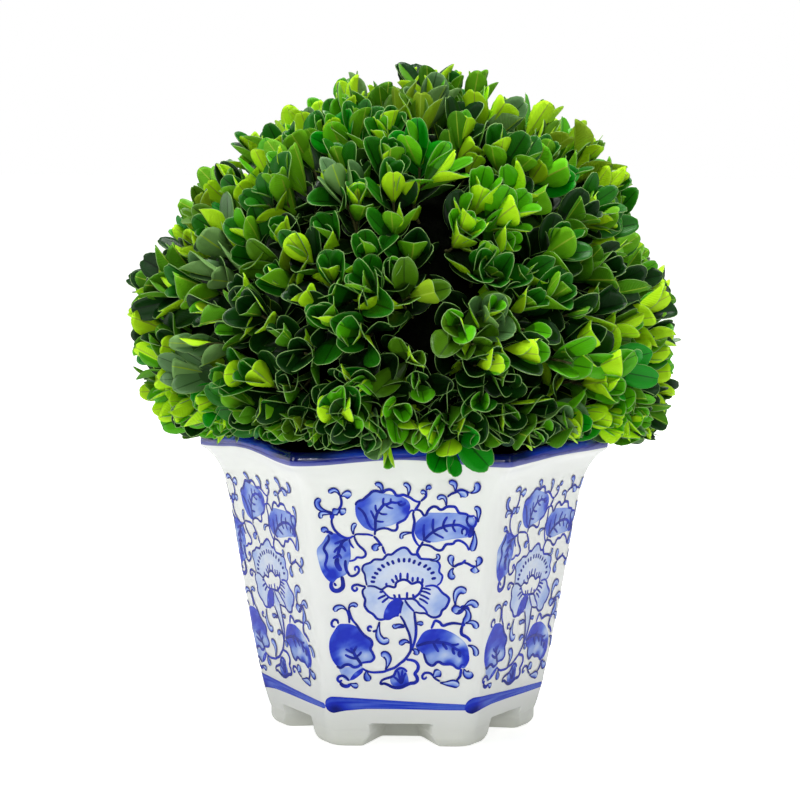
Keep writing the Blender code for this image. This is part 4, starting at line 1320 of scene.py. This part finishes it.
stem_points = []
for row in range(STEM_ROWS):
    share = row / (STEM_ROWS - 1)
    height = STEM_TOP + (STEM_FOOT - STEM_TOP) * share
    radius = STEM_TIP_RADIUS + (STEM_RADIUS - STEM_TIP_RADIUS) * share + ROOT_FLARE * share**5
    for column in range(STEM_COLUMNS):
        angle = 2 * math.pi * column / STEM_COLUMNS
        x, y = math.cos(angle), math.sin(angle)
        furrow = noise.noise((x * FURROWS_ROUND, y * FURROWS_ROUND, height * FURROWS_UP))
        reach = radius + BARK_FURROWS * (furrow - FURROWS_CUT_IN)
        stem_points.append((reach * x, reach * y, height))
# The rows go down, so each face is turned over. It keeps its first corner, and so its diagonal.
stem_faces = [face[:1] + face[:0:-1] for face in capped_faces(STEM_ROWS, STEM_COLUMNS)]
stem = mesh_object("stem_with_bark", stem_points, stem_faces, [bark])
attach(stem, "root")
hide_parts("short_stem")
print("stem:", triangles(stem), "triangles")

# %% [markdown]
# ## The crown
#
# A preserved boxwood ball is a dark heart that real sprigs are pushed into. The solids grow it by a rule:
# sprigs stand evenly over a dome by the golden angle, and each carries crossed pairs of leaves near its
# tip. The same rule is used here and carried further. Every sprig forks into finer shoots, and every
# shoot carries five pairs of leaves that open wider from its tip down. The shoots keep a little to their
# own sprig, which leaves the dark gaps between sprigs that the real ball has.

# %% Sizes of the crown, the solids' own
CROWN_CENTRE = Vector((0.0, 0.0, 0.1895))
CROWN_RADIUS = 0.1378
LOWEST_LEAF = 0.1385
HEM_AT_MIDDLE = 0.1440
HEM_TILT = 0.042
LIP_CLEARANCE = 0.0008
STANDS_PROUD = 0.0022
CORE_RADIUS = 0.1070
BRANCHING = 0.30
SPRIG_COUNT = 92
LOWEST_SPRIG = -0.36
SPRIG_WOBBLE = 0.06
RISE_WOBBLE = 0.008
TOP_RISES = 0.008
TOP_LEANS = 0.048
SHOULDER_DIP = 0.036
SHOULDER_AT = 0.42
SHOULDER_SPAN = 0.20
LEFT_SWELLS = 0.050
SWELLS_AT = 0.30
SWELL_SPAN = 0.15
HEM_TUCK = 0.21
HEM_LEANS = 0.12
SEED = 11
rng = random.Random(SEED)


def spread_directions(count, lowest, wobble_angle):
    """Directions spread evenly over the dome by the golden angle, each a little off its place."""
    golden = math.pi * (3 - math.sqrt(5))
    for i in range(count):
        rise = 1 - (i + 0.5) / count * (1 - lowest) + rng.uniform(-RISE_WOBBLE, RISE_WOBBLE)
        rise = min(rise, 1.0)
        angle = golden * i + rng.uniform(-wobble_angle, wobble_angle)
        spread = math.sqrt(1 - rise * rise)
        yield Vector((spread * math.cos(angle), spread * math.sin(angle), rise))


def dome_reach(direction):
    """How far the crown reaches: a ball that leans a little, with slack shoulders, the left one fuller."""
    rise = max(direction.z, 0.0)
    top = TOP_RISES * rise * rise + TOP_LEANS * rise * direction.x
    dip = SHOULDER_DIP * math.exp(-(((direction.z - SHOULDER_AT) / SHOULDER_SPAN) ** 2))
    tuck = (HEM_TUCK - HEM_LEANS * direction.x) * max(-direction.z, 0.0)
    swell_here = math.exp(-(((direction.z - SWELLS_AT) / SWELL_SPAN) ** 2))
    swell = LEFT_SWELLS * max(-direction.x, 0.0) ** 2 * swell_here
    return CROWN_RADIUS * (1 + top - dip - tuck + swell)


def in_crown_space(points, hangs, spare):
    """True where a whole leaf fits: inside the crown's ball, above its hem, and clear of the lip."""
    x, y, z = points.T
    hem = LOWEST_LEAF if hangs else np.maximum(LOWEST_LEAF, HEM_AT_MIDDLE - HEM_TILT * y)
    from_centre = points - np.array(CROWN_CENTRE)
    reach = dome_reach(Vector(from_centre.mean(axis=0)).normalized()) + STANDS_PROUD + spare
    inside = np.linalg.norm(from_centre, axis=1) < reach
    lip_apothem = math.cos(HALF_SIDE) * RIM_ACROSS_CORNERS / 2
    lip_apothem += LIP_CORNER_ROUND * (1 - math.cos(HALF_SIDE))
    facings = HALF_SIDE * np.arange(1, 2 * SIDES, 2)
    outward = np.outer(x, np.cos(facings)) + np.outer(y, np.sin(facings))
    nearest = facings[outward.argmax(axis=1)]
    across = np.abs(y * np.cos(nearest) - x * np.sin(nearest)) / (RIM_ACROSS_CORNERS / 4)
    arch = LIP_ARCH * np.cos(np.minimum(across, 1) * math.pi / 2) ** 2
    beside_lip = outward.max(axis=1) > lip_apothem + LIP_CLEARANCE
    above_lip = z > LIP_HEIGHT + LIP_TOP + arch + LIP_CLEARANCE
    return bool(np.all((z >= hem) & inside & (above_lip | beside_lip)))


sprigs = list(spread_directions(SPRIG_COUNT, LOWEST_SPRIG, SPRIG_WOBBLE))
print("sprigs:", len(sprigs))

# %% [markdown]
# ### The dark heart
#
# Between the leaves the photograph is nearly black, because the sprigs are pushed into dark foam and the
# inside of the crown is in deep shade. The heart is a crumpled ball, well inside the leaves, that stops
# the light. Its near-black colour is partly the dark foam and partly painted shade.

# %% Make the heart
HEART_RADIUS = 0.0930
HEART_FOOT = 0.1312
HEART_NECK = 0.0660
HEART_CRUMPLE = 0.0050
HEART_NARROWS_BELOW = HEART_FOOT + 0.02
HEART_ROWS = 41
HEART_COLUMNS = 64

# Painted shade: the heart is nearly black, so the gaps between the leaves read as deep shade.
heart_finish = Finish("heart_painted_shade", screen(5, 7, 3), 0.95, **{"Specular IOR Level": 0.04})
dust = heart_finish.noise(260.0, 4.0, 0.6)
heart_finish.grained(dust, 0.35, screen(2, 3, 1), 0.75, screen(9, 12, 5), 0.0015)

heart_points = []
for row in range(HEART_ROWS):
    polar = math.pi * 0.985 * row / (HEART_ROWS - 1) + 0.01
    out, up = math.sin(polar), math.cos(polar)
    for column in range(HEART_COLUMNS):
        angle = 2 * math.pi * column / HEART_COLUMNS
        unit = Vector((out * math.cos(angle), out * math.sin(angle), up))
        point = CROWN_CENTRE + unit * (HEART_RADIUS + HEART_CRUMPLE * noise.noise(unit * 7))
        if point.z < HEART_NARROWS_BELOW:
            narrow = HEART_NECK / max(Vector((point.x, point.y)).length, 1e-6)
            point.x *= min(narrow, 1)
            point.y *= min(narrow, 1)
        point.z = max(point.z, HEART_FOOT)
        heart_points.append(point)
heart_faces = [face[::-1] for face in capped_faces(HEART_ROWS, HEART_COLUMNS)]
heart = mesh_object("heart_painted_shade", heart_points, heart_faces, [heart_finish])
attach(heart, "root")
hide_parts("clipped_crown")
print("heart:", triangles(heart), "triangles")

# %% [markdown]
# ### Twigs
#
# Each sprig is a tapering twig from the inner stem. The finer shoots fork from the nearest sprig and bend
# out to their own places on the dome, and two more rows of them close its hem. A twig is a five-sided
# tube along a smooth curve. Two shoots hang out over the lip in front, as the photograph shows.

# %% Grow the twigs
SHOOT_COUNT = 384
HEM_ROWS = ((44, -0.235), (42, -0.290))
HEM_DROOP = -0.05
SHOOT_REACH = 0.0165
FORK_DEPTH = (0.050, 0.062)
KEEPS_TO_SPRIG = 0.16
SPRIG_UNEVENNESS = 0.0050
SHOOT_UNEVENNESS = 0.0080
WANDER = 0.20
RISES = 0.14
TWIG_SIDES = 5
TWIG_STEPS = 7
TWIG_FOOT = 0.00105
TWIG_TIP = 0.00055
SPRIG_FOOT = 0.0024
SPRIG_TIP = 0.0017
SPRIG_STARTS = 0.45
SPRIG_MIDDLE = 0.75
SHOOT_WOBBLE = 0.10
HEM_STEP_WOBBLE = 0.3
HEM_RISE_WOBBLE = 0.02
SINKS_FROM_TO = (-0.2, 0.8)
SHOOT_BEND = 0.022
HANGING_BEND = 0.016
HANGING_FORK_SHARE = 0.9
HANGING_FORK_Y = -0.070
HANGING_FORK_Z = 0.160
HANGING_TIPS = (Vector((-0.0065, -0.1035, 0.1545)), Vector((0.0240, -0.1050, 0.1525)))
HANGING_WAY = Vector((0.06, -0.70, -0.70))
# Painted sheen: the first hanging shoot takes the greyish tint.
HANGING_TINTS = ["grey", "bright"]

twig_points = []
twig_faces = []


def tube(path, start_radius, end_radius):
    """A tapering tube with closed ends, added to the twigs."""
    base = len(twig_points)
    for i, point in enumerate(path):
        share = i / (len(path) - 1)
        heading = path[min(i + 1, len(path) - 1)] - path[max(i - 1, 0)]
        across = heading.to_track_quat("Z", "X").to_matrix()
        radius = start_radius + (end_radius - start_radius) * share
        for corner in range(TWIG_SIDES):
            angle = 2 * math.pi * corner / TWIG_SIDES
            twig_points.append(point + across @ Vector((math.cos(angle), math.sin(angle), 0)) * radius)
    twig_faces.extend(tuple(base + i for i in face) for face in capped_faces(len(path), TWIG_SIDES))


def bent(start, middle, end, steps):
    """Points on a curve that leaves start towards middle and arrives at end."""
    shares = [i / steps for i in range(steps + 1)]
    return [start * (1 - t) ** 2 + middle * 2 * t * (1 - t) + end * t * t for t in shares]


def sprig_root(direction):
    return Vector((0, 0, CROWN_CENTRE.z + BRANCHING * CORE_RADIUS * direction.z))


shoots = []
sprig_sinks = []
for direction in sprigs:
    root = sprig_root(direction)
    end = CROWN_CENTRE + direction * (CROWN_RADIUS - FORK_DEPTH[0])
    tube([root.lerp(end, SPRIG_STARTS), root.lerp(end, SPRIG_MIDDLE), end], SPRIG_FOOT, SPRIG_TIP)
    sprig_sinks.append(rng.uniform(0, SPRIG_UNEVENNESS))
ways = list(spread_directions(SHOOT_COUNT, LOWEST_SPRIG, SHOOT_WOBBLE))
for count, rise in HEM_ROWS:
    for i in range(count):
        angle = 2 * math.pi * (i + rng.uniform(-HEM_STEP_WOBBLE, HEM_STEP_WOBBLE)) / count
        height = rise + rng.uniform(-HEM_RISE_WOBBLE, HEM_RISE_WOBBLE)
        ways.append(Vector((math.cos(angle), math.sin(angle), height)).normalized())
for order, direction in enumerate(ways):
    number = max(range(SPRIG_COUNT), key=lambda i: direction.dot(sprigs[i]))
    parent = sprigs[number]
    place = direction.lerp(parent, KEEPS_TO_SPRIG).normalized()
    fork_from = CROWN_CENTRE + parent * (CROWN_RADIUS - rng.uniform(*FORK_DEPTH))
    sunk = sprig_sinks[number] + rng.uniform(*SINKS_FROM_TO) * SHOOT_UNEVENNESS
    surface = CROWN_CENTRE + place * (dome_reach(place) - sunk)
    lean = Vector((rng.gauss(0, 1), rng.gauss(0, 1), rng.gauss(0, 1))) * WANDER
    lift = Vector((0, 0, RISES if order < SHOOT_COUNT else HEM_DROOP))
    heading = (place + lean + lift).normalized()
    tip = surface - heading * SHOOT_REACH
    shoots.append((bent(fork_from, tip - heading * SHOOT_BEND, tip, TWIG_STEPS), number, False))
for number, tip in enumerate(HANGING_TIPS, SPRIG_COUNT):
    start = Vector((tip.x * HANGING_FORK_SHARE, HANGING_FORK_Y, HANGING_FORK_Z))
    middle = tip - HANGING_WAY.normalized() * HANGING_BEND
    shoots.append((bent(start, middle, tip, TWIG_STEPS), number, True))
print("shoots:", len(shoots))

# %% [markdown]
# ### One boxwood leaf
#
# A boxwood leaf is a small leathery spoon: a narrow foot, widest past its middle, and a round tip that is
# sometimes notched. It has a sunken midrib and a thin pale margin, which is partly painted edge highlight.
# It could be a flat card with a picture, but its rim would vanish from the side. Here it is a thin closed
# shell: an upper sheet, an under sheet that is a little larger, and a pale band between them, which shows
# as the margin.

# %% Shape a leaf
LEAF_LENGTH = 0.0254
LEAF_WIDTH = 0.0127
LEAF_THICKNESS = 0.00028
MIDRIB_SINKS = 0.05
MARGIN = 0.00013
NARROWEST_HALF = 0.0006
STATIONS = np.array([0.0, 0.13, 0.27, 0.41, 0.55, 0.69, 0.81, 0.905, 0.965])
LANES = np.array([-1.0, -0.55, -0.06, 0.06, 0.55, 1.0])
WIDEST_AT = 0.65
FOOT_WIDTH = 0.07
BELLY_GAIN = 0.93
BELLY_CURVE = 1.35
TIP_ARC = 0.035
NOTCH_SPAN = 0.4
FOOT_ROWS = 3
UPPER, UNDER, RIM, MIDRIB_UNDER, SHADED_FOOT_AND_MIDRIB = range(5)


def half_width_at(run, pointed):
    """Half width of a leaf as a share of its widest: a narrow foot, a belly, then a round tip."""
    climb = np.sin(np.clip(run / WIDEST_AT, 0, 1) * math.pi / 2) ** BELLY_CURVE
    foot = FOOT_WIDTH + BELLY_GAIN * climb
    past = np.clip((run - WIDEST_AT) / (1 - WIDEST_AT), 0, 1)
    return foot * (1 - past**2) ** (0.5 + pointed)


def leaf_points(length, width, cup, bend, fold, notch, pointed):
    """Upper and under sheet of a leaf along +Z from its root, its upper side facing +Y."""
    run, lane = np.meshgrid(STATIONS, LANES, indexing="ij")
    half = width / 2 * half_width_at(run, pointed)
    last = run > 0.95
    rounded_tip = TIP_ARC * (1 - lane**2) - notch * np.exp(-((lane / NOTCH_SPAN) ** 2))
    along = length * (run + last * rounded_tip)
    side = lane * half
    raised = cup * side**2 / (width / 2) + fold * np.abs(side) + bend * length * run**2
    raised -= MIDRIB_SINKS * width * (np.abs(lane) < 0.1) * np.sin(math.pi * run)
    upper = np.stack([side, raised, along], axis=-1)
    wider = np.where(np.abs(lane) > 0.9, 1 + MARGIN / np.maximum(half, NARROWEST_HALF), 1)
    under_along = along + MARGIN * last - MARGIN * (run == 0)
    under = np.stack([side * wider, raised - LEAF_THICKNESS, under_along], axis=-1)
    return np.concatenate([upper.reshape(-1, 3), under.reshape(-1, 3)])


def leaf_faces():
    """Faces of one leaf, and the kind of each. The foot and the midrib groove of the upper side take a
    darker colour, as painted shade.
    """
    rows, lanes = len(STATIONS), len(LANES)
    under = rows * lanes
    faces = []
    kinds = []
    for row in range(rows - 1):
        for lane in range(lanes - 1):
            a = row * lanes + lane
            quad = (a, a + lanes, a + lanes + 1, a + 1)
            middle = lane == (lanes - 1) // 2
            faces.append(quad)
            kinds.append(SHADED_FOOT_AND_MIDRIB if row < FOOT_ROWS or middle else UPPER)
            faces.append(tuple(under + i for i in quad[::-1]))
            kinds.append(MIDRIB_UNDER if middle else UNDER)
    rim = [row * lanes for row in range(rows)]
    rim += [(rows - 1) * lanes + lane for lane in range(1, lanes)]
    rim += [row * lanes + lanes - 1 for row in range(rows - 2, -1, -1)]
    rim += list(range(lanes - 2, 0, -1))
    for i, corner in enumerate(rim):
        following = rim[(i + 1) % len(rim)]
        faces.append((corner, under + corner, under + following, following))
        kinds.append(RIM)
    return faces, kinds


LEAF_FACES, LEAF_KINDS = leaf_faces()
lane_grid = np.tile(np.meshgrid(STATIONS, LANES, indexing="ij"), (1, 2, 1))
LEAF_RUN = lane_grid[0].ravel() * LEAF_LENGTH
LEAF_LANE = lane_grid[1].ravel() * LEAF_WIDTH / 2
LEAF_TIP = len(STATIONS) * len(LANES) - len(LANES) // 2
print("one leaf:", 2 * len(LEAF_FACES), "triangles")

# %% [markdown]
# ### Leaf colours
#
# The ball mixes sprigs of several tints: deep green, mid green, fresh yellow-green, olive, and a greyish
# green that is painted sheen. Low sprigs are mostly deep green and high ones more mid and fresh green,
# as painted shade below and painted light on top. Undersides are yellower and less glossy, with fine
# slanting veins, and about a third of the leaves show a very bright one, which is painted light. Each
# tint is one plain colour, dealt out by sprig as on the real ball, and the foot and the middle of a blade
# take its darker sister, as painted shade. Light and shade do the rest.

# %% Mix the leaf finishes
# Each tint has its upper side, a darker colour that is painted shade on its midrib groove and foot, and its
# under side.
TINTS = {
    # Painted shade: the first tint goes to leaves deep inside the crown.
    "inner_shade": (screen(8, 34, 4), screen(6, 24, 3), screen(40, 80, 8)),
    "deep": (screen(11, 54, 6), screen(7, 36, 4), screen(78, 142, 10)),
    "mid": (screen(28, 106, 8), screen(18, 66, 5), screen(104, 172, 12)),
    "fresh": (screen(84, 174, 10), screen(54, 118, 8), screen(184, 238, 20)),
    "bright": (screen(10, 142, 12), screen(8, 94, 10), screen(110, 206, 16)),
    "olive": (screen(74, 120, 12), screen(50, 84, 10), screen(132, 168, 18)),
    # Painted sheen: the greyish tint stands in for gloss reflections on the leaves.
    "grey": (screen(88, 128, 76), screen(58, 92, 48), screen(118, 160, 88)),
}
# Painted shade and light: low sprigs are mostly deep green, high ones more mid and fresh green.
SPRIG_TINTS_SHADED_LOW = {"deep": 0.72, "mid": 0.17, "fresh": 0.07, "olive": 0.04}
SPRIG_TINTS_LIT_HIGH = {"deep": 0.05, "mid": 0.52, "fresh": 0.35, "olive": 0.08}
SHOOT_TINTS = {"deep": 0.19, "mid": 0.29, "fresh": 0.15, "bright": 0.10, "olive": 0.10, "grey": 0.17}
# Painted light: about a third of the leaves get the very bright fresh underside.
PAINTED_LIGHT_BACKS = 0.32
# A pale margin, partly painted edge highlight.
MARGIN_AND_EDGE_HIGHLIGHT = screen(128, 166, 92)
MIDRIB_COLOUR = screen(156, 188, 54)
VEIN_SPACING = 0.0013
VEIN_SLANT = 0.8
LEATHER_HEIGHT = 0.00016
HIGH_SPRIG = 0.45


def leaf_finish(name, colour, roughness, veins):
    """Leathery leaf: one plain colour, uneven gloss, and veins that slant away from the midrib."""
    finish = Finish(name, colour, roughness, **{"Specular IOR Level": 0.25})
    run = finish.node("Attribute", "Fac", {"attribute_name": "leaf_run"})
    lane = finish.node("Attribute", "Fac", {"attribute_name": "leaf_lane"})
    ridges = ((run - VEIN_SLANT * lane.size()) * (2 * math.pi / VEIN_SPACING)).sine()
    leather = finish.noise(620.0, 3.0, 0.6)
    finish.put(finish.shader, {"Roughness": roughness - 0.06 + 0.16 * leather})
    finish.relief(veins * ridges + 0.9 * leather, LEATHER_HEIGHT)
    return finish


leaf_finishes = []
for tint, (upper, shaded, under) in TINTS.items():
    leaf_finishes.append(leaf_finish(f"leaf_{tint}_upper", upper, 0.36, 0.10))
    # Painted shade: this darker colour goes on the foot and the midrib groove of the upper side.
    leaf_finishes.append(leaf_finish(f"leaf_{tint}_midrib", shaded, 0.42, 0.0))
    leaf_finishes.append(leaf_finish(f"leaf_{tint}_under", under, 0.58, 0.22))
leaf_finishes.append(leaf_finish("leaf_margin_and_highlight", MARGIN_AND_EDGE_HIGHLIGHT, 0.50, 0.0))
leaf_finishes.append(leaf_finish("leaf_midrib_below", MIDRIB_COLOUR, 0.55, 0.0))
MARGIN_HIGHLIGHT_SLOT = 3 * len(TINTS)
MIDRIB_SLOT = MARGIN_HIGHLIGHT_SLOT + 1
PAINTED_LIGHT_BACK_SLOT = 3 * list(TINTS).index("fresh") + 2
print("leaf finishes:", len(leaf_finishes))

# %% [markdown]
# ### Pairs of leaves
#
# Boxwood leaves sit in opposite pairs, and each pair is turned by a right angle from the one before. The
# youngest pair at the tip is small and nearly closed. The leaves deep inside take darker tints, as painted
# shade.
# A leaf that would leave the crown's space is tried at other leans and then left out, and so is one that
# would hide the blue lip in front. Some leaves are lost or stand askew and roots are staggered, or every
# shoot would look like the same neat rosette.

# %% Grow the leaves
# Each pair has its distance below the tip, its lean from the shoot, and its size.
PAIRS = (
    (0.0000, math.radians(9), 0.74),
    (0.0045, math.radians(17), 0.94),
    (0.0105, math.radians(27), 1.02),
    (0.0180, math.radians(38), 1.04),
    (0.0270, math.radians(50), 0.98),
)
OPEN_SHARE = 0.18
STRAY_SHARE = 0.24
STRAY_SPREAD = 2.6
FIRST_SPREAD = 0.10
SPREAD_GROWS = 0.08
VIGOUR = (0.86, 1.10)
LOST_SHARE = 0.12
STAGGER = 0.0016
TWISTS = (0.3, 0.6, 1.0, 1.2, 1.2)
EAGER_SHARE = 0.10
EAGER_REACH = 0.0048
EAGER_BELOW = 0.285
KEEPS_SPRIG_TINT = 0.62
FRESH_TIPS = 0.30
FEWEST_LEAVES = 4
# Painted shade: leaves that end this far inside the crown take darker tints.
INNER_SHADE_BELOW = 0.0175
DEEP_BELOW = 0.0120
FRONT_HEM = 0.1500
FRONT_BEYOND = 0.062
TRIES = 6


def point_below_tip(path, distance):
    """The point and heading of a shoot at a distance back from its tip."""
    left = distance
    for end, start in zip(path[::-1], path[-2::-1]):
        step = (end - start).length
        if left <= step or start is path[0]:
            share = min(left / step, 1.0)
            return end.lerp(start, share), (end - start).normalized()
        left -= step


def try_leaf(root, heading, around, lean, twist, size, hangs, spare):
    """Placed points of one leaf, or nothing if it has no room."""
    shape = leaf_points(
        length=LEAF_LENGTH * size * rng.uniform(0.86, 1.14),
        width=LEAF_WIDTH * size * rng.uniform(0.86, 1.16),
        cup=rng.choice((0.0, 0.2, 0.4, 0.7)) * rng.uniform(0.6, 1.2),
        bend=rng.uniform(-0.15, 0.11),
        fold=rng.choice((0.0, 0.1, 0.3)),
        notch=rng.choice((0, 0, 0.02, 0.05)),
        pointed=rng.choice((0, 0, 0, 0.05, 0.25)),
    )
    stray = STRAY_SPREAD if rng.random() < STRAY_SHARE else 1.0
    for attempt in range(TRIES):
        spread = FIRST_SPREAD * stray + SPREAD_GROWS * attempt
        turn = (
            heading.to_track_quat("Z", "X").to_matrix()
            @ Matrix.Rotation(around + rng.uniform(-2, 2) * spread, 3, "Z")
            @ Matrix.Rotation(lean + rng.uniform(-1.5, 1.5) * spread, 3, "X")
            @ Matrix.Rotation(rng.triangular(-twist, twist, 0) * stray, 3, "Z")
        )
        placed = shape @ np.array(turn).T + np.array(root)
        if in_crown_space(placed, hangs, spare):
            return placed
    return None


def hides_the_lip(points):
    """True for a leaf that hangs before the lip in front, where the photograph shows the lip bare."""
    return points[:, 1].mean() < -FRONT_BEYOND and points[:, 2].min() < FRONT_HEM


def drawn_tint(shares):
    return rng.choices(list(shares), list(shares.values()))[0]


def shaded_tint_at_depth(points, tint):
    """Leaves that end deep inside the crown take the darkest tints, as painted shade."""
    from_centre = Vector(points[LEAF_TIP]) - CROWN_CENTRE
    depth = dome_reach(from_centre.normalized()) - from_centre.length
    if depth > INNER_SHADE_BELOW:
        return "inner_shade"
    return "deep" if depth > DEEP_BELOW and tint in ("mid", "fresh") else tint


tint_names = list(TINTS)
sprig_tints = []
for sprig in sprigs:
    sprig_tints.append(drawn_tint(SPRIG_TINTS_LIT_HIGH if sprig.z > HIGH_SPRIG else SPRIG_TINTS_SHADED_LOW))
sprig_tints += HANGING_TINTS
leaves = []
for path, number, hangs in sorted(shoots, key=lambda shoot: -shoot[0][-1].z):
    tint = sprig_tints[number] if hangs or rng.random() < KEEPS_SPRIG_TINT else drawn_tint(SHOOT_TINTS)
    turn = rng.uniform(0, math.pi)
    vigour = rng.uniform(*VIGOUR)
    open_shoot = rng.random() < OPEN_SHARE
    spare = EAGER_REACH if rng.random() < EAGER_SHARE and path[-1].z < EAGER_BELOW and not hangs else 0
    grown = []
    for pair, (below, lean, size) in enumerate(PAIRS):
        if pair == 0 and open_shoot:
            continue
        tint_of_pair = "fresh" if pair == 0 and rng.random() < FRESH_TIPS else tint
        for side in range(2):
            if rng.random() < LOST_SHARE:
                continue
            root, along_shoot = point_below_tip(path, below + rng.uniform(0, STAGGER))
            root = root + along_shoot * spare
            around = turn + pair * math.pi / 2 + side * math.pi
            points = try_leaf(root, along_shoot, around, lean, TWISTS[pair], size * vigour, hangs, spare)
            if points is None:
                continue
            base = 3 * tint_names.index(shaded_tint_at_depth(points, tint_of_pair))
            # Painted light: a very bright underside on some leaves.
            back = PAINTED_LIGHT_BACK_SLOT if rng.random() < PAINTED_LIGHT_BACKS else base + 2
            slots = {UPPER: base, UNDER: back, RIM: MARGIN_HIGHLIGHT_SLOT}
            slots.update({MIDRIB_UNDER: MIDRIB_SLOT, SHADED_FOOT_AND_MIDRIB: base + 1})
            if hangs or not hides_the_lip(points):
                grown.append((points, [slots[kind] for kind in LEAF_KINDS]))
    if len(grown) < FEWEST_LEAVES:
        continue
    tube(path, TWIG_FOOT, TWIG_TIP)
    leaves.extend(grown)
print("leaves:", len(leaves))

# %% Join the leaves and twigs into pieces
PIECE_COUNT = 5
POINTS_A_LEAF = 2 * len(STATIONS) * len(LANES)
for number in range(PIECE_COUNT):
    share = leaves[number * len(leaves) // PIECE_COUNT:(number + 1) * len(leaves) // PIECE_COUNT]
    points = np.vstack([placed for placed, _ in share])
    slots = [slot for _, leaf_slots in share for slot in leaf_slots]
    firsts = range(0, POINTS_A_LEAF * len(share), POINTS_A_LEAF)
    faces = [tuple(first + i for i in face) for first in firsts for face in LEAF_FACES]
    foliage = mesh_object(f"boxwood_leaves_{number}", points, faces, leaf_finishes, slots)
    keep_value(foliage, "leaf_run", np.tile(LEAF_RUN, len(share)))
    keep_value(foliage, "leaf_lane", np.tile(LEAF_LANE, len(share)))
    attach(foliage, "root")
    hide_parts("clipped_crown")
    print(foliage.name, triangles(foliage), "triangles")

twig_finish = Finish("green_twig_bark", screen(92, 96, 48), 0.7)
twig_grain = twig_finish.noise(500.0, 3.0, 0.6)
twig_finish.grained(twig_grain, 0.3, screen(60, 54, 26), 0.7, screen(112, 112, 60), 0.0003)
twigs = mesh_object("fine_twigs", [tuple(point) for point in twig_points], twig_faces, [twig_finish])
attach(twigs, "root")
print("twigs:", triangles(twigs), "triangles")
